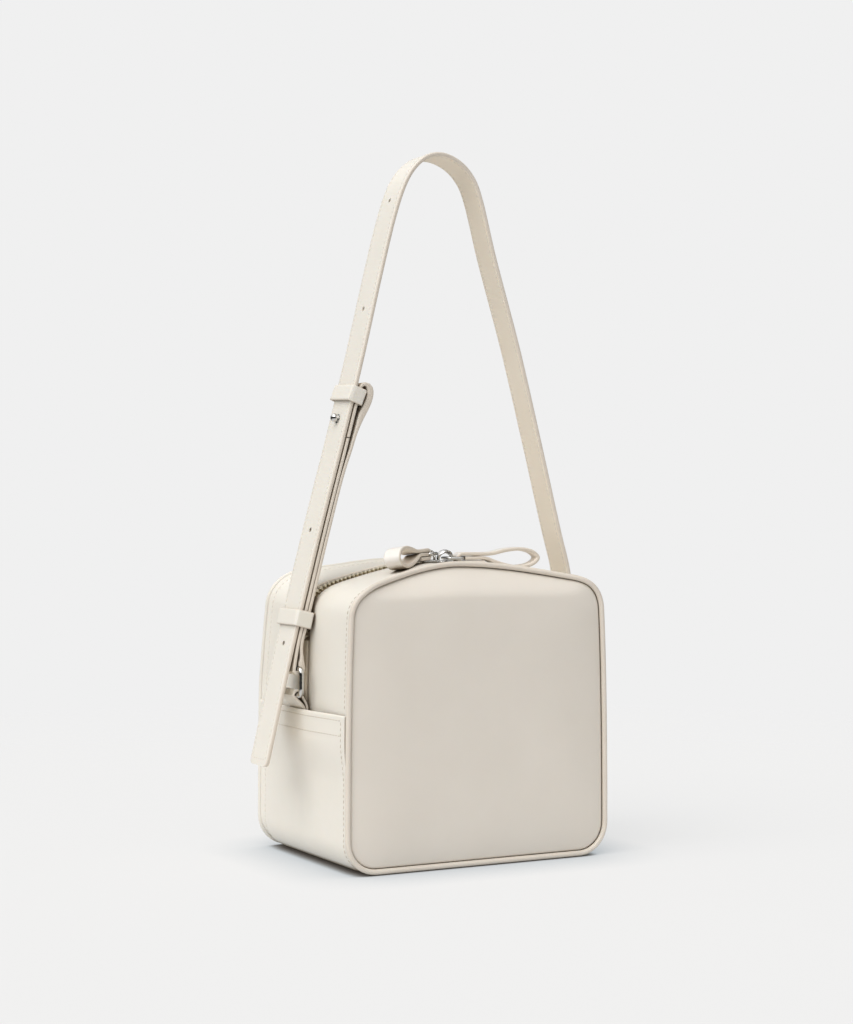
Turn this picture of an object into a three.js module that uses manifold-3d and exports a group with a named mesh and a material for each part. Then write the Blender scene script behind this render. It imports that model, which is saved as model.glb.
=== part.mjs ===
// Box bag: a small box-shaped shoulder bag in cream leather, closed by a zip that runs over the top,
// with one long strap that is buckled by a ball stud on the left side.
// Millimetres, +Z up. The front panel faces -Y, and the origin is the middle of the flat base, on the floor.

import * as THREE from 'three';
import { mergeVertices } from 'three/addons/utils/BufferGeometryUtils.js';
import Module from 'manifold-3d';

const wasm = await Module();
wasm.setup();

// Fit between pieces
const GAP = 0.3;

// Body
const BODY_WIDTH = 161;
const BODY_DEPTH = 117.6;
const BODY_HEIGHT = 165.6;
const BASE_CORNER_RADIUS = 16;
const SHOULDER_HEIGHT = 140;
const TOP_BOW = 12;
const TOP_BOW_REACH = 70;
const BACK_BOW_SHARE = 0.5;
const BACK_LEAN = 8;
const BACK_LEAN_FROM = 96;
const BACK_LEAN_TO = 150;

// Panels
const PANEL_THICKNESS = 2;
const PANEL_CROWN = 4;
const PANEL_ROLL_HEIGHT = 17;

// Piping
const PIPING_DIAMETER = 3;
const PIPING_STANDOFF = 1;

// Gusset strips and base band
const GUSSET_THICKNESS = 1.8;
const GUSSET_STANDOFF = 0.6;
const BASE_THICKNESS = 2;
const BASE_RAMP = 8;
const BAND_HEIGHT = 86;
const BAND_LAP = 13;
const BAND_RAMP = 25;
const BAND_EDGE_THICKNESS = 1.8;

// Zip
const ZIP_OPENING = 9.5;
const CHAIN_WIDTH = 6.4;
const CHAIN_THICKNESS = 1.5;
const CHAIN_SINK = 0.4;
const TAPE_WIDTH = 22;
const TAPE_THICKNESS = 0.8;
const SLIDER_MEETING_X = 3.7;
const SLIDER_LENGTH = 11;
const SLIDER_WIDTH = 8;
const SLIDER_NOSE = 4.4;
const SLIDER_PLATE = 1.8;
const SLIDER_HEIGHT = 7.6;
const BRIDGE_LENGTH = 8.8;
const BRIDGE_WIDTH = 2.2;
const BRIDGE_BAR = 1.4;
const BRIDGE_SHOULDER = 2.6;
const LINK_WIRE = 1.8;
const LINK_REACH = 9.3;

// Zip pulls
const PULL_WIDTH = 10;
const PULL_THICKNESS = 2.1;
const PULL_STACK_LENGTH = 13.8;
const PULL_LOOP_LENGTH = 34.3;
const PULL_LOOP_HEIGHT = 12.6;
const LEFT_PULL_SWING = 41.5;
const LEFT_PULL_DROOP = 1.6;
const LEFT_PULL_ROLL = 9;
const LEFT_PULL_RISE = 1.6;
const RIGHT_PULL_SWING = -10;

// Rings and their tabs
const RING_WIRE = 3.1;
const RING_HEIGHT = 17.7;
const RING_CORNER_RADIUS = 4.5;
const RING_PLAY = 1;
const RING_STANDOFF = 7.8;
const RING_RISE = 6.5;
const TAB_WIDTH = 19.4;
const TAB_THICKNESS = 1.2;
const TAB_TUCK = 11;
const TAB_STANDOFF = 1.4;

// Strap
const STRAP_WIDTH = 22.6;
const STRAP_THICKNESS = 2.8;
const STRAP_RISE = 301;
const HOLE_DIAMETER = 2.8;
const STRAP_LEAN = 1.9;
const HOLE_PITCH = 65;
const HOLE_COUNT = 5;
const FIRST_HOLE = 67.7;
const STUD_HOLE = 2;
const SHORT_STRAP_THICKNESS = 1.9;
const RETURN_LENGTH = 45;
const RING_APPROACH = 0.85;
const JOINT_BELOW_STUD = 10;

// Keepers and stud
const KEEPER_LENGTH = 9.2;
const KEEPER_THICKNESS = 1.5;
const KEEPER_PLAY = 0.6;
const UPPER_KEEPER_SLACK = 1.2;
const UPPER_KEEPER_AT = 212.4;
const UPPER_KEEPER_TILT = 6;
const UPPER_KEEPER_SKEW = 3;
const LOWER_KEEPER_SLACK = 0.3;
const LOWER_KEEPER_AT = 82.6;
const STUD_BALL = 4.8;
const STUD_NECK = 2.2;
const STUD_NECK_LENGTH = 0.5;
const STUD_FLANGE = 5.4;
const STUD_FLANGE_THICKNESS = 0.8;

// Facets
const CORNER_STEPS = 5;
const SIDE_STEPS = 5;
const ARCH_STEPS = 6;
const PIPING_SIDES = 8;
const WIRE_SIDES = 8;
const SPAN_STEPS = 3;

// Worked-out sizes
const HALF_WIDTH = BODY_WIDTH / 2;
const HALF_DEPTH = BODY_DEPTH / 2;
const PIPING_RADIUS = PIPING_DIAMETER / 2;
const PIPING_OUTER = PIPING_STANDOFF + PIPING_RADIUS;
const OUTLINE_BOTTOM = PIPING_OUTER + GAP;
const CROWN_RISE = BODY_HEIGHT - SHOULDER_HEIGHT;
const SEAM_CLEARANCE = PIPING_RADIUS + GAP;
const PANEL_EDGE_INSET = PIPING_RADIUS - PIPING_STANDOFF + GAP;
const SKIVED_STANDOFF = GAP - PANEL_EDGE_INSET;
const RING_RADIUS = RING_WIRE / 2;
const RING_INNER_WIDTH = STRAP_WIDTH + 2 * RING_PLAY;
const RING_X = HALF_WIDTH + RING_STANDOFF;
const RING_Z = BAND_HEIGHT + RING_RISE + RING_HEIGHT / 2;
const RING_BAR_OFFSET = RING_HEIGHT / 2 - RING_RADIUS;

// Top edge from the right shoulder to the left one: Bezier control points, every third one on the edge.
// across is a share of half the width, up is a share of the crown above the shoulders.
const TOP_EDGE = [
  { across: 0.973, up: 0 },
  { across: 0.966, up: 0.47 },
  { across: 0.865, up: 0.645 },
  { across: 0.745, up: 0.695 },
  { across: 0.472, up: 0.85 },
  { across: 0.211, up: 0.99 },
  { across: -0.1, up: 1 },
  { across: -0.311, up: 1 },
  { across: -0.559, up: 0.784 },
  { across: -0.745, up: 0.62 },
  { across: -0.857, up: 0.518 },
  { across: -0.954, up: 0.353 },
  { across: -0.973, up: 0 },
];

// Rings of a panel from its edge inwards: share of the outline's size
const PANEL_RINGS_OUTER = [1, 0.975, 0.93, 0.86, 0.74, 0.45];
const PANEL_RINGS_INNER = [1, 0.93, 0.8, 0.45];

// Outer face of the strap from its free tail over the shoulder arch to the right side:
// across in shares of the ring's distance from the middle, up in shares of the strap's rise over the rings.
const STRAP_ROUTE = [
  { across: -1.229, up: -0.1485 },
  { across: -1.051, up: 0.0708 },
  { across: -0.8675, up: 0.2787 },
  { across: -0.702, up: 0.4545 },
  { across: -0.563, up: 0.6106 },
  { across: -0.4394, up: 0.76 },
  { across: -0.3307, up: 0.8797 },
  { across: -0.2367, up: 0.9492 },
  { across: -0.119, up: 0.988 },
  { across: 0.0057, up: 1 },
  { across: 0.136, up: 0.9904 },
  { across: 0.2435, up: 0.9648 },
  { across: 0.319, up: 0.921 },
  { across: 0.43, up: 0.803 },
  { across: 0.609, up: 0.6316 },
  { across: 0.7656, up: 0.4608 },
  { across: 0.922, up: 0.284 },
  { across: 1.001, up: 0.199 },
];

// Loop of the short strap round the back of the upper keeper, seen from the side.
// along is a share of the keeper's length above its middle, out is a share of the depth past the layer.
// Below the loop the layers lie flat until they part above the left ring, both in lengths of a keeper.
const KEEPER_LOOP_DEPTH = 6.2;
const KEEPER_LOOP_END = 5.4;
const LAYERS_PART_AT = 1.6;
const KEEPER_LOOP = [
  { along: 0.42, out: 0.02 },
  { along: 0.64, out: 0.2 },
  { along: 0.7, out: 0.52 },
  { along: 0.58, out: 0.84 },
  { along: 0.28, out: 1 },
  { along: -0.15, out: 1 },
  { along: -0.6, out: 0.88 },
  { along: -1.08, out: 0.69 },
  { along: -1.68, out: 0.48 },
  { along: -2.4, out: 0.31 },
  { along: -3.4, out: 0.22 },
];

// Teardrop loop of a pull beyond its three stacked layers.
// along is a share of the loop's length, up is a share of half its height.
const PULL_LOOP = [
  { along: 0.18, up: 0.52 },
  { along: 0.42, up: 0.86 },
  { along: 0.66, up: 1 },
  { along: 0.88, up: 0.74 },
  { along: 1, up: 0 },
  { along: 0.88, up: -0.74 },
  { along: 0.66, up: -1 },
  { along: 0.44, up: -0.84 },
  { along: 0.22, up: -0.42 },
];

// Materials
const CREAM = new THREE.Color(0.93, 0.9, 0.84);
const CREAM_SHADE = new THREE.Color(0.88, 0.84, 0.77);
const SILVER = new THREE.Color(0.78, 0.78, 0.76);
const OLD_SILVER = new THREE.Color(0.6, 0.56, 0.48);
const TAPE_BEIGE = new THREE.Color(0.8, 0.74, 0.64);

function leather(color = CREAM) {
  return new THREE.MeshStandardMaterial({ color, roughness: 0.5, metalness: 0 });
}

function metal(color = SILVER, roughness = 0.2) {
  return new THREE.MeshStandardMaterial({ color, roughness, metalness: 1 });
}

function fabric() {
  return new THREE.MeshStandardMaterial({ color: TAPE_BEIGE, roughness: 0.9, metalness: 0 });
}

// Solids from rings of points

function signedVolume(points, faces) {
  const cross = new THREE.Vector3();
  let volume = 0;
  for (const [a, b, c] of faces) {
    cross.crossVectors(points[b], points[c]);
    volume += points[a].dot(cross);
  }
  return volume;
}

function geometryFrom(points, faces) {
  const outward = signedVolume(points, faces) > 0;
  const geometry = new THREE.BufferGeometry();
  const positions = points.flatMap((point) => [point.x, point.y, point.z]);
  const indices = faces.flatMap(([a, b, c]) => (outward ? [a, b, c] : [a, c, b]));
  geometry.setAttribute('position', new THREE.Float32BufferAttribute(positions, 3));
  geometry.setIndex(indices);
  return geometry;
}

// Skin over rings of equal point counts. ends is 'loop' where the last ring meets the first,
// 'strips' where each ring is a thin section closed by pairing its first half with its second,
// or a pair of points that close the two ends as tips.
function skin(rings, ends) {
  const count = rings[0].length;
  const points = rings.flat();
  const faces = [];
  const spans = ends === 'loop' ? rings.length : rings.length - 1;
  for (let i = 0; i < spans; i += 1) {
    const here = i * count;
    const next = ((i + 1) % rings.length) * count;
    for (let j = 0; j < count; j += 1) {
      const k = (j + 1) % count;
      faces.push([here + j, here + k, next + k]);
      faces.push([here + j, next + k, next + j]);
    }
  }
  const last = (rings.length - 1) * count;
  if (ends === 'strips') {
    for (let j = 0; j < count / 2 - 1; j += 1) {
      const far = count - 1 - j;
      faces.push([j + 1, j, far]);
      faces.push([j + 1, far, far - 1]);
      faces.push([last + j, last + j + 1, last + far]);
      faces.push([last + j + 1, last + far - 1, last + far]);
    }
  } else if (ends !== 'loop') {
    points.push(...ends);
    const startTip = points.length - 2;
    const endTip = points.length - 1;
    for (let j = 0; j < count; j += 1) {
      const k = (j + 1) % count;
      faces.push([startTip, k, j]);
      faces.push([endTip, last + j, last + k]);
    }
  }
  return geometryFrom(points, faces);
}

// Round wire or cord along a closed run of centre points that lies in one plane
function closedWire(centres, planeNormal, radius, sides) {
  const rings = centres.map((centre, i) => {
    const before = centres[(i + centres.length - 1) % centres.length];
    const after = centres[(i + 1) % centres.length];
    const along = after.clone().sub(before).normalize();
    const across = new THREE.Vector3().crossVectors(along, planeNormal).normalize();
    const up = new THREE.Vector3().crossVectors(across, along);
    return ringAround(centre, across, up, radius, sides);
  });
  return skin(rings, 'loop');
}

function ringAround(centre, across, up, radius, sides) {
  const ring = [];
  for (let j = 0; j < sides; j += 1) {
    const angle = ((j + 0.5) * 2 * Math.PI) / sides;
    const point = centre.clone();
    point.addScaledVector(across, radius * Math.cos(angle));
    point.addScaledVector(up, radius * Math.sin(angle));
    ring.push(point);
  }
  return ring;
}

// Strip that follows a route in the XZ plane: the route is one face, the thickness lies to its right.
// leanAt gives how far the back edge lies outboard of the front edge at a point.
function strip(route, thickness, width, leanAt = () => 0) {
  const rings = route.map((point, i) => {
    const right = rightOf(route, i);
    const far = point.clone().addScaledVector(right, thickness);
    const lean = leanAt(point);
    return [
      new THREE.Vector3(point.x, -width / 2, point.y),
      new THREE.Vector3(point.x + lean, width / 2, point.y),
      new THREE.Vector3(far.x + lean, width / 2, far.y),
      new THREE.Vector3(far.x, -width / 2, far.y),
    ];
  });
  return skin(rings, 'strips');
}

function rightOf(route, i) {
  const before = route[Math.max(i - 1, 0)];
  const after = route[Math.min(i + 1, route.length - 1)];
  const along = after.clone().sub(before).normalize();
  return new THREE.Vector2(along.y, -along.x);
}

function smoothRoute(points, steps = SPAN_STEPS) {
  const curve = new THREE.SplineCurve(points);
  return curve.getPoints((points.length - 1) * steps);
}

function arcPoints(centre, radius, startDegrees, endDegrees, steps) {
  const points = [];
  for (let i = 0; i <= steps; i += 1) {
    const angle = THREE.MathUtils.degToRad(startDegrees + ((endDegrees - startDegrees) * i) / steps);
    points.push(new THREE.Vector2(centre.x + radius * Math.cos(angle), centre.y + radius * Math.sin(angle)));
  }
  return points;
}

// Cuts and joins

function toManifold(geometry) {
  const bare = geometry.clone();
  bare.deleteAttribute('normal');
  bare.deleteAttribute('uv');
  const merged = mergeVertices(bare, 1e-4);
  return new wasm.Manifold(
    new wasm.Mesh({
      numProp: 3,
      vertProperties: new Float32Array(merged.attributes.position.array),
      triVerts: new Uint32Array(merged.index.array),
    }),
  );
}

function fromManifold(solid) {
  const mesh = solid.getMesh();
  const geometry = new THREE.BufferGeometry();
  geometry.setAttribute('position', new THREE.BufferAttribute(new Float32Array(mesh.vertProperties), 3));
  geometry.setIndex(new THREE.BufferAttribute(new Uint32Array(mesh.triVerts), 1));
  return geometry;
}

function cut(geometry, tools) {
  const solid = tools.reduce((rest, tool) => rest.subtract(toManifold(tool)), toManifold(geometry));
  return fromManifold(solid);
}

function join(first, second) {
  return fromManifold(toManifold(first).add(toManifold(second)));
}

// Outline of the body, seen from the front, as stations with an outward direction

function topEdgePoint({ across, up }) {
  return new THREE.Vector2(across * HALF_WIDTH, SHOULDER_HEIGHT + up * CROWN_RISE);
}

function outlineStations() {
  const corner = BASE_CORNER_RADIUS;
  const flat = HALF_WIDTH - corner;
  const cornerTop = OUTLINE_BOTTOM + corner;
  const sideBend = (cornerTop + 2 * SHOULDER_HEIGHT) / 3;
  const top = TOP_EDGE.map(topEdgePoint);
  const rightSide = new THREE.QuadraticBezierCurve(
    new THREE.Vector2(HALF_WIDTH, cornerTop),
    new THREE.Vector2(HALF_WIDTH, sideBend),
    top[0],
  );
  const leftSide = new THREE.QuadraticBezierCurve(
    top[top.length - 1],
    new THREE.Vector2(-HALF_WIDTH, sideBend),
    new THREE.Vector2(-HALF_WIDTH, cornerTop),
  );
  const runs = [
    { points: [new THREE.Vector2(0, OUTLINE_BOTTOM), new THREE.Vector2(flat / 2, OUTLINE_BOTTOM)] },
    { points: arcPoints(new THREE.Vector2(flat, cornerTop), corner, -90, 0, CORNER_STEPS).slice(0, -1) },
    { points: rightSide.getPoints(SIDE_STEPS).slice(0, -1) },
  ];
  for (let i = 0; i + 3 < top.length; i += 3) {
    const curve = new THREE.CubicBezierCurve(top[i], top[i + 1], top[i + 2], top[i + 3]);
    const steps = i === 0 || i + 6 > top.length ? CORNER_STEPS : ARCH_STEPS;
    runs.push({ points: curve.getPoints(steps).slice(0, -1) });
  }
  runs.push({ points: leftSide.getPoints(SIDE_STEPS).slice(0, -1) });
  runs.push({ points: arcPoints(new THREE.Vector2(-flat, cornerTop), corner, 180, 270, CORNER_STEPS) });
  runs.push({ points: [new THREE.Vector2(-flat / 2, OUTLINE_BOTTOM)] });
  const loop = runs.flatMap((run) => run.points);
  return loop.map((point, i) => station(loop, point, i));
}

function station(loop, point, i) {
  const before = loop[(i + loop.length - 1) % loop.length];
  const after = loop[(i + 1) % loop.length];
  const along = after.clone().sub(before).normalize();
  const reach = Math.max(0, 1 - (point.x / TOP_BOW_REACH) ** 2);
  const bow = point.y > SHOULDER_HEIGHT ? TOP_BOW * reach : 0;
  return { x: point.x, z: point.y, outX: along.y, outZ: -along.x, bow };
}

// How far the seam lies inboard of the body's full depth: the middle of the top is bowed in on both sides,
// and the back leans forward above the band
function seamRecess(at, side) {
  if (side < 0) return at.bow;
  return at.bow * BACK_BOW_SHARE + backLean(at.z);
}

function backLean(z) {
  return BACK_LEAN * THREE.MathUtils.clamp((z - BACK_LEAN_FROM) / (BACK_LEAN_TO - BACK_LEAN_FROM), 0, 1);
}

function pushedOut(at, standoff) {
  return new THREE.Vector2(at.x + standoff * at.outX, at.z + standoff * at.outZ);
}

const OUTLINE = outlineStations();

// The stretch of the outline above or below a height, in order along the outline, with its two ends
// set exactly at that height on the right and left sides
function sideStation(height, side) {
  const onSide = OUTLINE.filter((at) => Math.sign(at.x) === side && Math.abs(at.outX) > 0.9);
  const ordered = onSide.sort((a, b) => a.z - b.z);
  const above = ordered.findIndex((at) => at.z > height);
  const low = ordered[above - 1];
  const high = ordered[above];
  const share = (height - low.z) / (high.z - low.z);
  return {
    x: THREE.MathUtils.lerp(low.x, high.x, share),
    z: height,
    outX: THREE.MathUtils.lerp(low.outX, high.outX, share),
    outZ: THREE.MathUtils.lerp(low.outZ, high.outZ, share),
    bow: 0,
  };
}

function stretchAbove(height) {
  const middle = OUTLINE.filter((at) => at.z > height + 1);
  return [sideStation(height, 1), ...middle, sideStation(height, -1)];
}

function stretchBelow(heights) {
  const lowest = Math.min(...heights);
  const cutFirst = OUTLINE.findIndex((at) => at.z > lowest - 1);
  const below = (at) => at.z < lowest - 1;
  const right = OUTLINE.slice(0, cutFirst).filter(below);
  const left = OUTLINE.slice(cutFirst).filter(below);
  const rightEdge = heights.map((height) => sideStation(height, 1));
  const leftEdge = heights.map((height) => sideStation(height, -1));
  return [...leftEdge, ...left, ...right, ...rightEdge.reverse()];
}

// Panels

function panelRing(share, side, inset, inward) {
  const middleZ = (OUTLINE_BOTTOM + BODY_HEIGHT) / 2;
  return OUTLINE.map((at) => {
    const edge = pushedOut(at, -inset);
    const x = edge.x * share;
    const z = middleZ + (edge.y - middleZ) * share;
    const roll = Math.max(0, 1 - ((1 - share) * (edge.y - middleZ)) / PANEL_ROLL_HEIGHT);
    const bow = seamRecess({ z, bow: at.bow * roll * roll }, side);
    const crown = PANEL_CROWN * (1 - share ** 4);
    return new THREE.Vector3(x, side * (HALF_DEPTH + crown - bow - inward), z);
  });
}

function panel(side) {
  const middleZ = (OUTLINE_BOTTOM + BODY_HEIGHT) / 2;
  const outer = PANEL_RINGS_OUTER.map((share) => panelRing(share, side, PANEL_EDGE_INSET, 0));
  const inner = PANEL_RINGS_INNER.map((share) => panelRing(share, side, PANEL_EDGE_INSET, PANEL_THICKNESS));
  const front = new THREE.Vector3(0, side * (HALF_DEPTH + PANEL_CROWN), middleZ);
  const back = new THREE.Vector3(0, side * (HALF_DEPTH + PANEL_CROWN - PANEL_THICKNESS), middleZ);
  return skin([...outer.reverse(), ...inner], [front, back]);
}

// Piping in the seam round a panel
function piping(side) {
  const centres = OUTLINE.map((at) => {
    const centre = pushedOut(at, PIPING_STANDOFF);
    return new THREE.Vector3(centre.x, side * (HALF_DEPTH - seamRecess(at, side)), centre.y);
  });
  return closedWire(centres, new THREE.Vector3(0, 1, 0), PIPING_RADIUS, PIPING_SIDES);
}

// Strips of leather and tape that run along the outline.
// rows is a list of depths (Y) for a station, outerAt and innerAt give the standoff of each face there.
function outlineBand(stations, rows, outerAt, innerAt) {
  const rings = stations.map((at) => {
    const depths = rows(at);
    const outer = depths.map((y) => bandPoint(at, y, outerAt(at, y)));
    const inner = depths.map((y) => bandPoint(at, y, innerAt(at, y)));
    return [...outer, ...inner.reverse()];
  });
  return skin(rings, 'strips');
}

function bandPoint(at, y, standoff) {
  const point = pushedOut(at, standoff);
  return new THREE.Vector3(point.x, y, point.y);
}

function seamDepth(at, side) {
  return HALF_DEPTH - seamRecess(at, side) - SEAM_CLEARANCE;
}

// Leather that meets a seam is skived there, so that it clears the panel's edge
function skivedAtSeam(at, y, standoff) {
  const atSeam = Math.abs(y) > seamDepth(at, Math.sign(y)) - GAP;
  return atSeam ? Math.max(standoff, SKIVED_STANDOFF) : standoff;
}

const LAP_BOTTOM = BAND_HEIGHT - BAND_LAP;
const UPPER_STRETCH = stretchAbove(LAP_BOTTOM);

function zipStrip(side) {
  const rows = (at) => [1, 0.66, 0.33, 0].map((share) => {
    const zipEdge = ZIP_OPENING / 2;
    return side * (zipEdge + (seamDepth(at, side) - zipEdge) * share);
  });
  const inner = (at, y) => skivedAtSeam(at, y, GUSSET_STANDOFF - GUSSET_THICKNESS);
  return outlineBand(UPPER_STRETCH, rows, () => GUSSET_STANDOFF, inner);
}

function zipTape() {
  const face = GUSSET_STANDOFF - GUSSET_THICKNESS - GAP;
  return outlineBand(
    UPPER_STRETCH,
    () => [-TAPE_WIDTH / 2, TAPE_WIDTH / 2],
    () => face,
    () => face - TAPE_THICKNESS,
  );
}

const CHAIN_TOP = GUSSET_STANDOFF - CHAIN_SINK;

function zipChain() {
  const bevel = CHAIN_WIDTH / 4;
  const edge = CHAIN_WIDTH / 2;
  const floor = Math.max(GUSSET_STANDOFF - GUSSET_THICKNESS, CHAIN_TOP - CHAIN_THICKNESS);
  const crest = (at, y) => CHAIN_TOP - (Math.abs(y) > edge - bevel / 2 ? CHAIN_THICKNESS / 3 : 0);
  return outlineBand(UPPER_STRETCH, () => [-edge, -edge + bevel, edge - bevel, edge], crest, () => floor);
}

// Base band: flat on the floor, up both sides, its folded top edge lapped over the ends of the upper strips
const BAND_STEPS = [BAND_HEIGHT, LAP_BOTTOM, LAP_BOTTOM - BAND_RAMP];
const TAB_STACK = 2 * TAB_THICKNESS;

function lapStandoff(y) {
  const tabSide = TAB_WIDTH / 2 + GAP;
  const seam = HALF_DEPTH - SEAM_CLEARANCE;
  const share = THREE.MathUtils.clamp((seam - Math.abs(y)) / (seam - tabSide), 0, 1);
  return GUSSET_STANDOFF + GAP + (TAB_STANDOFF + TAB_STACK) * share;
}

function baseStandoff(at, y) {
  const downward = Math.max(0, -at.outZ);
  const inboard = THREE.MathUtils.clamp((HALF_DEPTH - SEAM_CLEARANCE - Math.abs(y)) / BASE_RAMP, 0, 1);
  return GUSSET_STANDOFF + (OUTLINE_BOTTOM - GUSSET_STANDOFF) * downward * inboard;
}

function baseGusset() {
  const stations = stretchBelow(BAND_STEPS);
  const tabSide = TAB_WIDTH / 2 + GAP;
  const rows = (at) => {
    const front = seamDepth(at, -1);
    const back = seamDepth(at, 1);
    return [-front, -front + BASE_RAMP, -tabSide, tabSide, back - BASE_RAMP, back];
  };
  const inLap = (at) => at.z >= LAP_BOTTOM - 0.01;
  const inner = (at, y) => (
    inLap(at) ? lapStandoff(y) : skivedAtSeam(at, y, baseStandoff(at, y) - BASE_THICKNESS)
  );
  const outer = (at, y) => (inLap(at) ? lapStandoff(y) + BAND_EDGE_THICKNESS : baseStandoff(at, y));
  return outlineBand(stations, rows, outer, inner);
}

// Ring and the tab that holds it

function roundedRectangle(halfWidth, halfHeight, radius, steps) {
  const corners = [
    { x: halfWidth - radius, y: halfHeight - radius, start: 0 },
    { x: radius - halfWidth, y: halfHeight - radius, start: 90 },
    { x: radius - halfWidth, y: radius - halfHeight, start: 180 },
    { x: halfWidth - radius, y: radius - halfHeight, start: 270 },
  ];
  return corners.flatMap(({ x, y, start }) =>
    arcPoints(new THREE.Vector2(x, y), radius, start, start + 90, steps),
  );
}

function ring() {
  const halfWidth = RING_INNER_WIDTH / 2 + RING_RADIUS;
  const outline = roundedRectangle(halfWidth, RING_BAR_OFFSET, RING_CORNER_RADIUS - RING_RADIUS, 4);
  const centres = outline.map((point) => new THREE.Vector3(0, point.x, point.y));
  return closedWire(centres, new THREE.Vector3(1, 0, 0), RING_RADIUS, WIRE_SIDES);
}

// Profile seen from the front for the left side: two layers tucked under the band, parted round the bar
function tabProfile(bar, tuckX) {
  const holeRadius = RING_RADIUS + GAP;
  const outerRadius = holeRadius + TAB_THICKNESS;
  const neckZ = BAND_HEIGHT + TAB_THICKNESS;
  const outline = [
    new THREE.Vector2(tuckX + TAB_THICKNESS, BAND_HEIGHT - TAB_TUCK),
    new THREE.Vector2(tuckX + TAB_THICKNESS, BAND_HEIGHT - TAB_THICKNESS),
    new THREE.Vector2((tuckX + bar.x + outerRadius) / 2 + TAB_THICKNESS / 2, neckZ),
    ...arcPoints(bar, outerRadius, -10, 200, 12),
    new THREE.Vector2(tuckX - TAB_THICKNESS, BAND_HEIGHT),
    new THREE.Vector2(tuckX - TAB_THICKNESS, BAND_HEIGHT - TAB_TUCK),
  ];
  const holeTip = new THREE.Vector2((2 * tuckX + bar.x) / 3, neckZ + TAB_THICKNESS / 2);
  const hole = [...arcPoints(bar, holeRadius, -20, 200, 12), holeTip];
  const shape = new THREE.Shape(outline);
  shape.holes.push(new THREE.Path(hole));
  return shape;
}

function ringTab() {
  const tuckX = sideStation(BAND_HEIGHT, -1).x - GUSSET_STANDOFF - TAB_STANDOFF - TAB_THICKNESS;
  const shape = tabProfile(new THREE.Vector2(-RING_X, RING_Z - RING_BAR_OFFSET), tuckX);
  const geometry = new THREE.ExtrudeGeometry(shape, { depth: TAB_WIDTH, bevelEnabled: false });
  geometry.rotateX(Math.PI / 2);
  geometry.translate(0, TAB_WIDTH / 2, 0);
  return geometry;
}

// Strap

function strapPoint({ across, up }) {
  return new THREE.Vector2(across * RING_X, RING_Z + up * STRAP_RISE);
}

// The strap is turned a little about its length on the right side, above its end that goes round the ring
function strapLean(point) {
  const across = THREE.MathUtils.smoothstep(point.x, -RING_X / 3, RING_X / 3);
  const doubledTop = RING_Z + RETURN_LENGTH;
  const rise = RETURN_LENGTH / 2;
  const up = THREE.MathUtils.smoothstep(point.y, doubledTop - rise, doubledTop + rise);
  return STRAP_LEAN * across * up;
}

function strapRoute() {
  const hung = STRAP_ROUTE.map(strapPoint);
  const bar = new THREE.Vector2(RING_X, RING_Z + RING_BAR_OFFSET);
  const foldRadius = RING_RADIUS + GAP + STRAP_THICKNESS;
  const fold = arcPoints(bar, foldRadius, 0, -180, 6);
  const last = hung[hung.length - 1];
  const outermost = bar.x + foldRadius;
  const approach = new THREE.Vector2(last.x + (outermost - last.x) * RING_APPROACH, (last.y + bar.y) / 2);
  const doubled = 2 * STRAP_THICKNESS + GAP;
  const lean = (outermost - last.x) / (last.y - bar.y);
  const slant = Math.hypot(1, lean);
  const returned = [
    new THREE.Vector2(approach.x - doubled * slant, approach.y),
    new THREE.Vector2(outermost - RETURN_LENGTH * lean - doubled * slant, bar.y + RETURN_LENGTH),
  ];
  return smoothRoute([...hung, approach, ...fold, ...returned]);
}

const STRAP_LINE = strapRoute();

// Point on the strap's outer face at a distance from its free end, with the directions there
function strapFrame(distance) {
  let left = distance;
  for (let i = 0; i + 1 < STRAP_LINE.length; i += 1) {
    const span = STRAP_LINE[i].distanceTo(STRAP_LINE[i + 1]);
    if (left <= span) {
      const along = STRAP_LINE[i + 1].clone().sub(STRAP_LINE[i]).normalize();
      const point = STRAP_LINE[i].clone().addScaledVector(along, left);
      return { point, along, inward: new THREE.Vector2(along.y, -along.x) };
    }
    left -= span;
  }
  throw new Error('distance lies beyond the strap');
}

function underStrap(distance, depth) {
  const frame = strapFrame(distance);
  return frame.point.clone().addScaledVector(frame.inward, depth);
}

function placeOnStrap(geometry, distance, depth, tilt = 0) {
  const frame = strapFrame(distance);
  const point = frame.point.clone().addScaledVector(frame.inward, depth);
  geometry.rotateY(Math.atan2(frame.along.x, frame.along.y) + THREE.MathUtils.degToRad(tilt));
  geometry.translate(point.x, 0, point.y);
  return geometry;
}

// Round punch that goes through a strap layer, its axis across the strap's face
function holePunch(distance, depth, thickness) {
  const punch = new THREE.CylinderGeometry(HOLE_DIAMETER / 2, HOLE_DIAMETER / 2, thickness + 2 * GAP, 10);
  punch.rotateZ(Math.PI / 2);
  return placeOnStrap(punch, distance, depth + thickness / 2);
}

function strap() {
  const band = strip(STRAP_LINE, STRAP_THICKNESS, STRAP_WIDTH, strapLean);
  const punches = [];
  for (let i = 0; i < HOLE_COUNT; i += 1) {
    punches.push(holePunch(FIRST_HOLE + i * HOLE_PITCH, 0, STRAP_THICKNESS));
  }
  return cut(band, punches);
}

// Short strap: from its butt joint under the stud up round the back of the upper keeper, down the
// bag's side of the stack, round the left ring and up again to the joint
const SHORT_OUTER_FACE = STRAP_THICKNESS + GAP;
const SHORT_LAYER_STEP = SHORT_STRAP_THICKNESS + GAP;
const STUD_AT = FIRST_HOLE + STUD_HOLE * HOLE_PITCH;
const JOINT_AT = STUD_AT - JOINT_BELOW_STUD;

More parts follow.
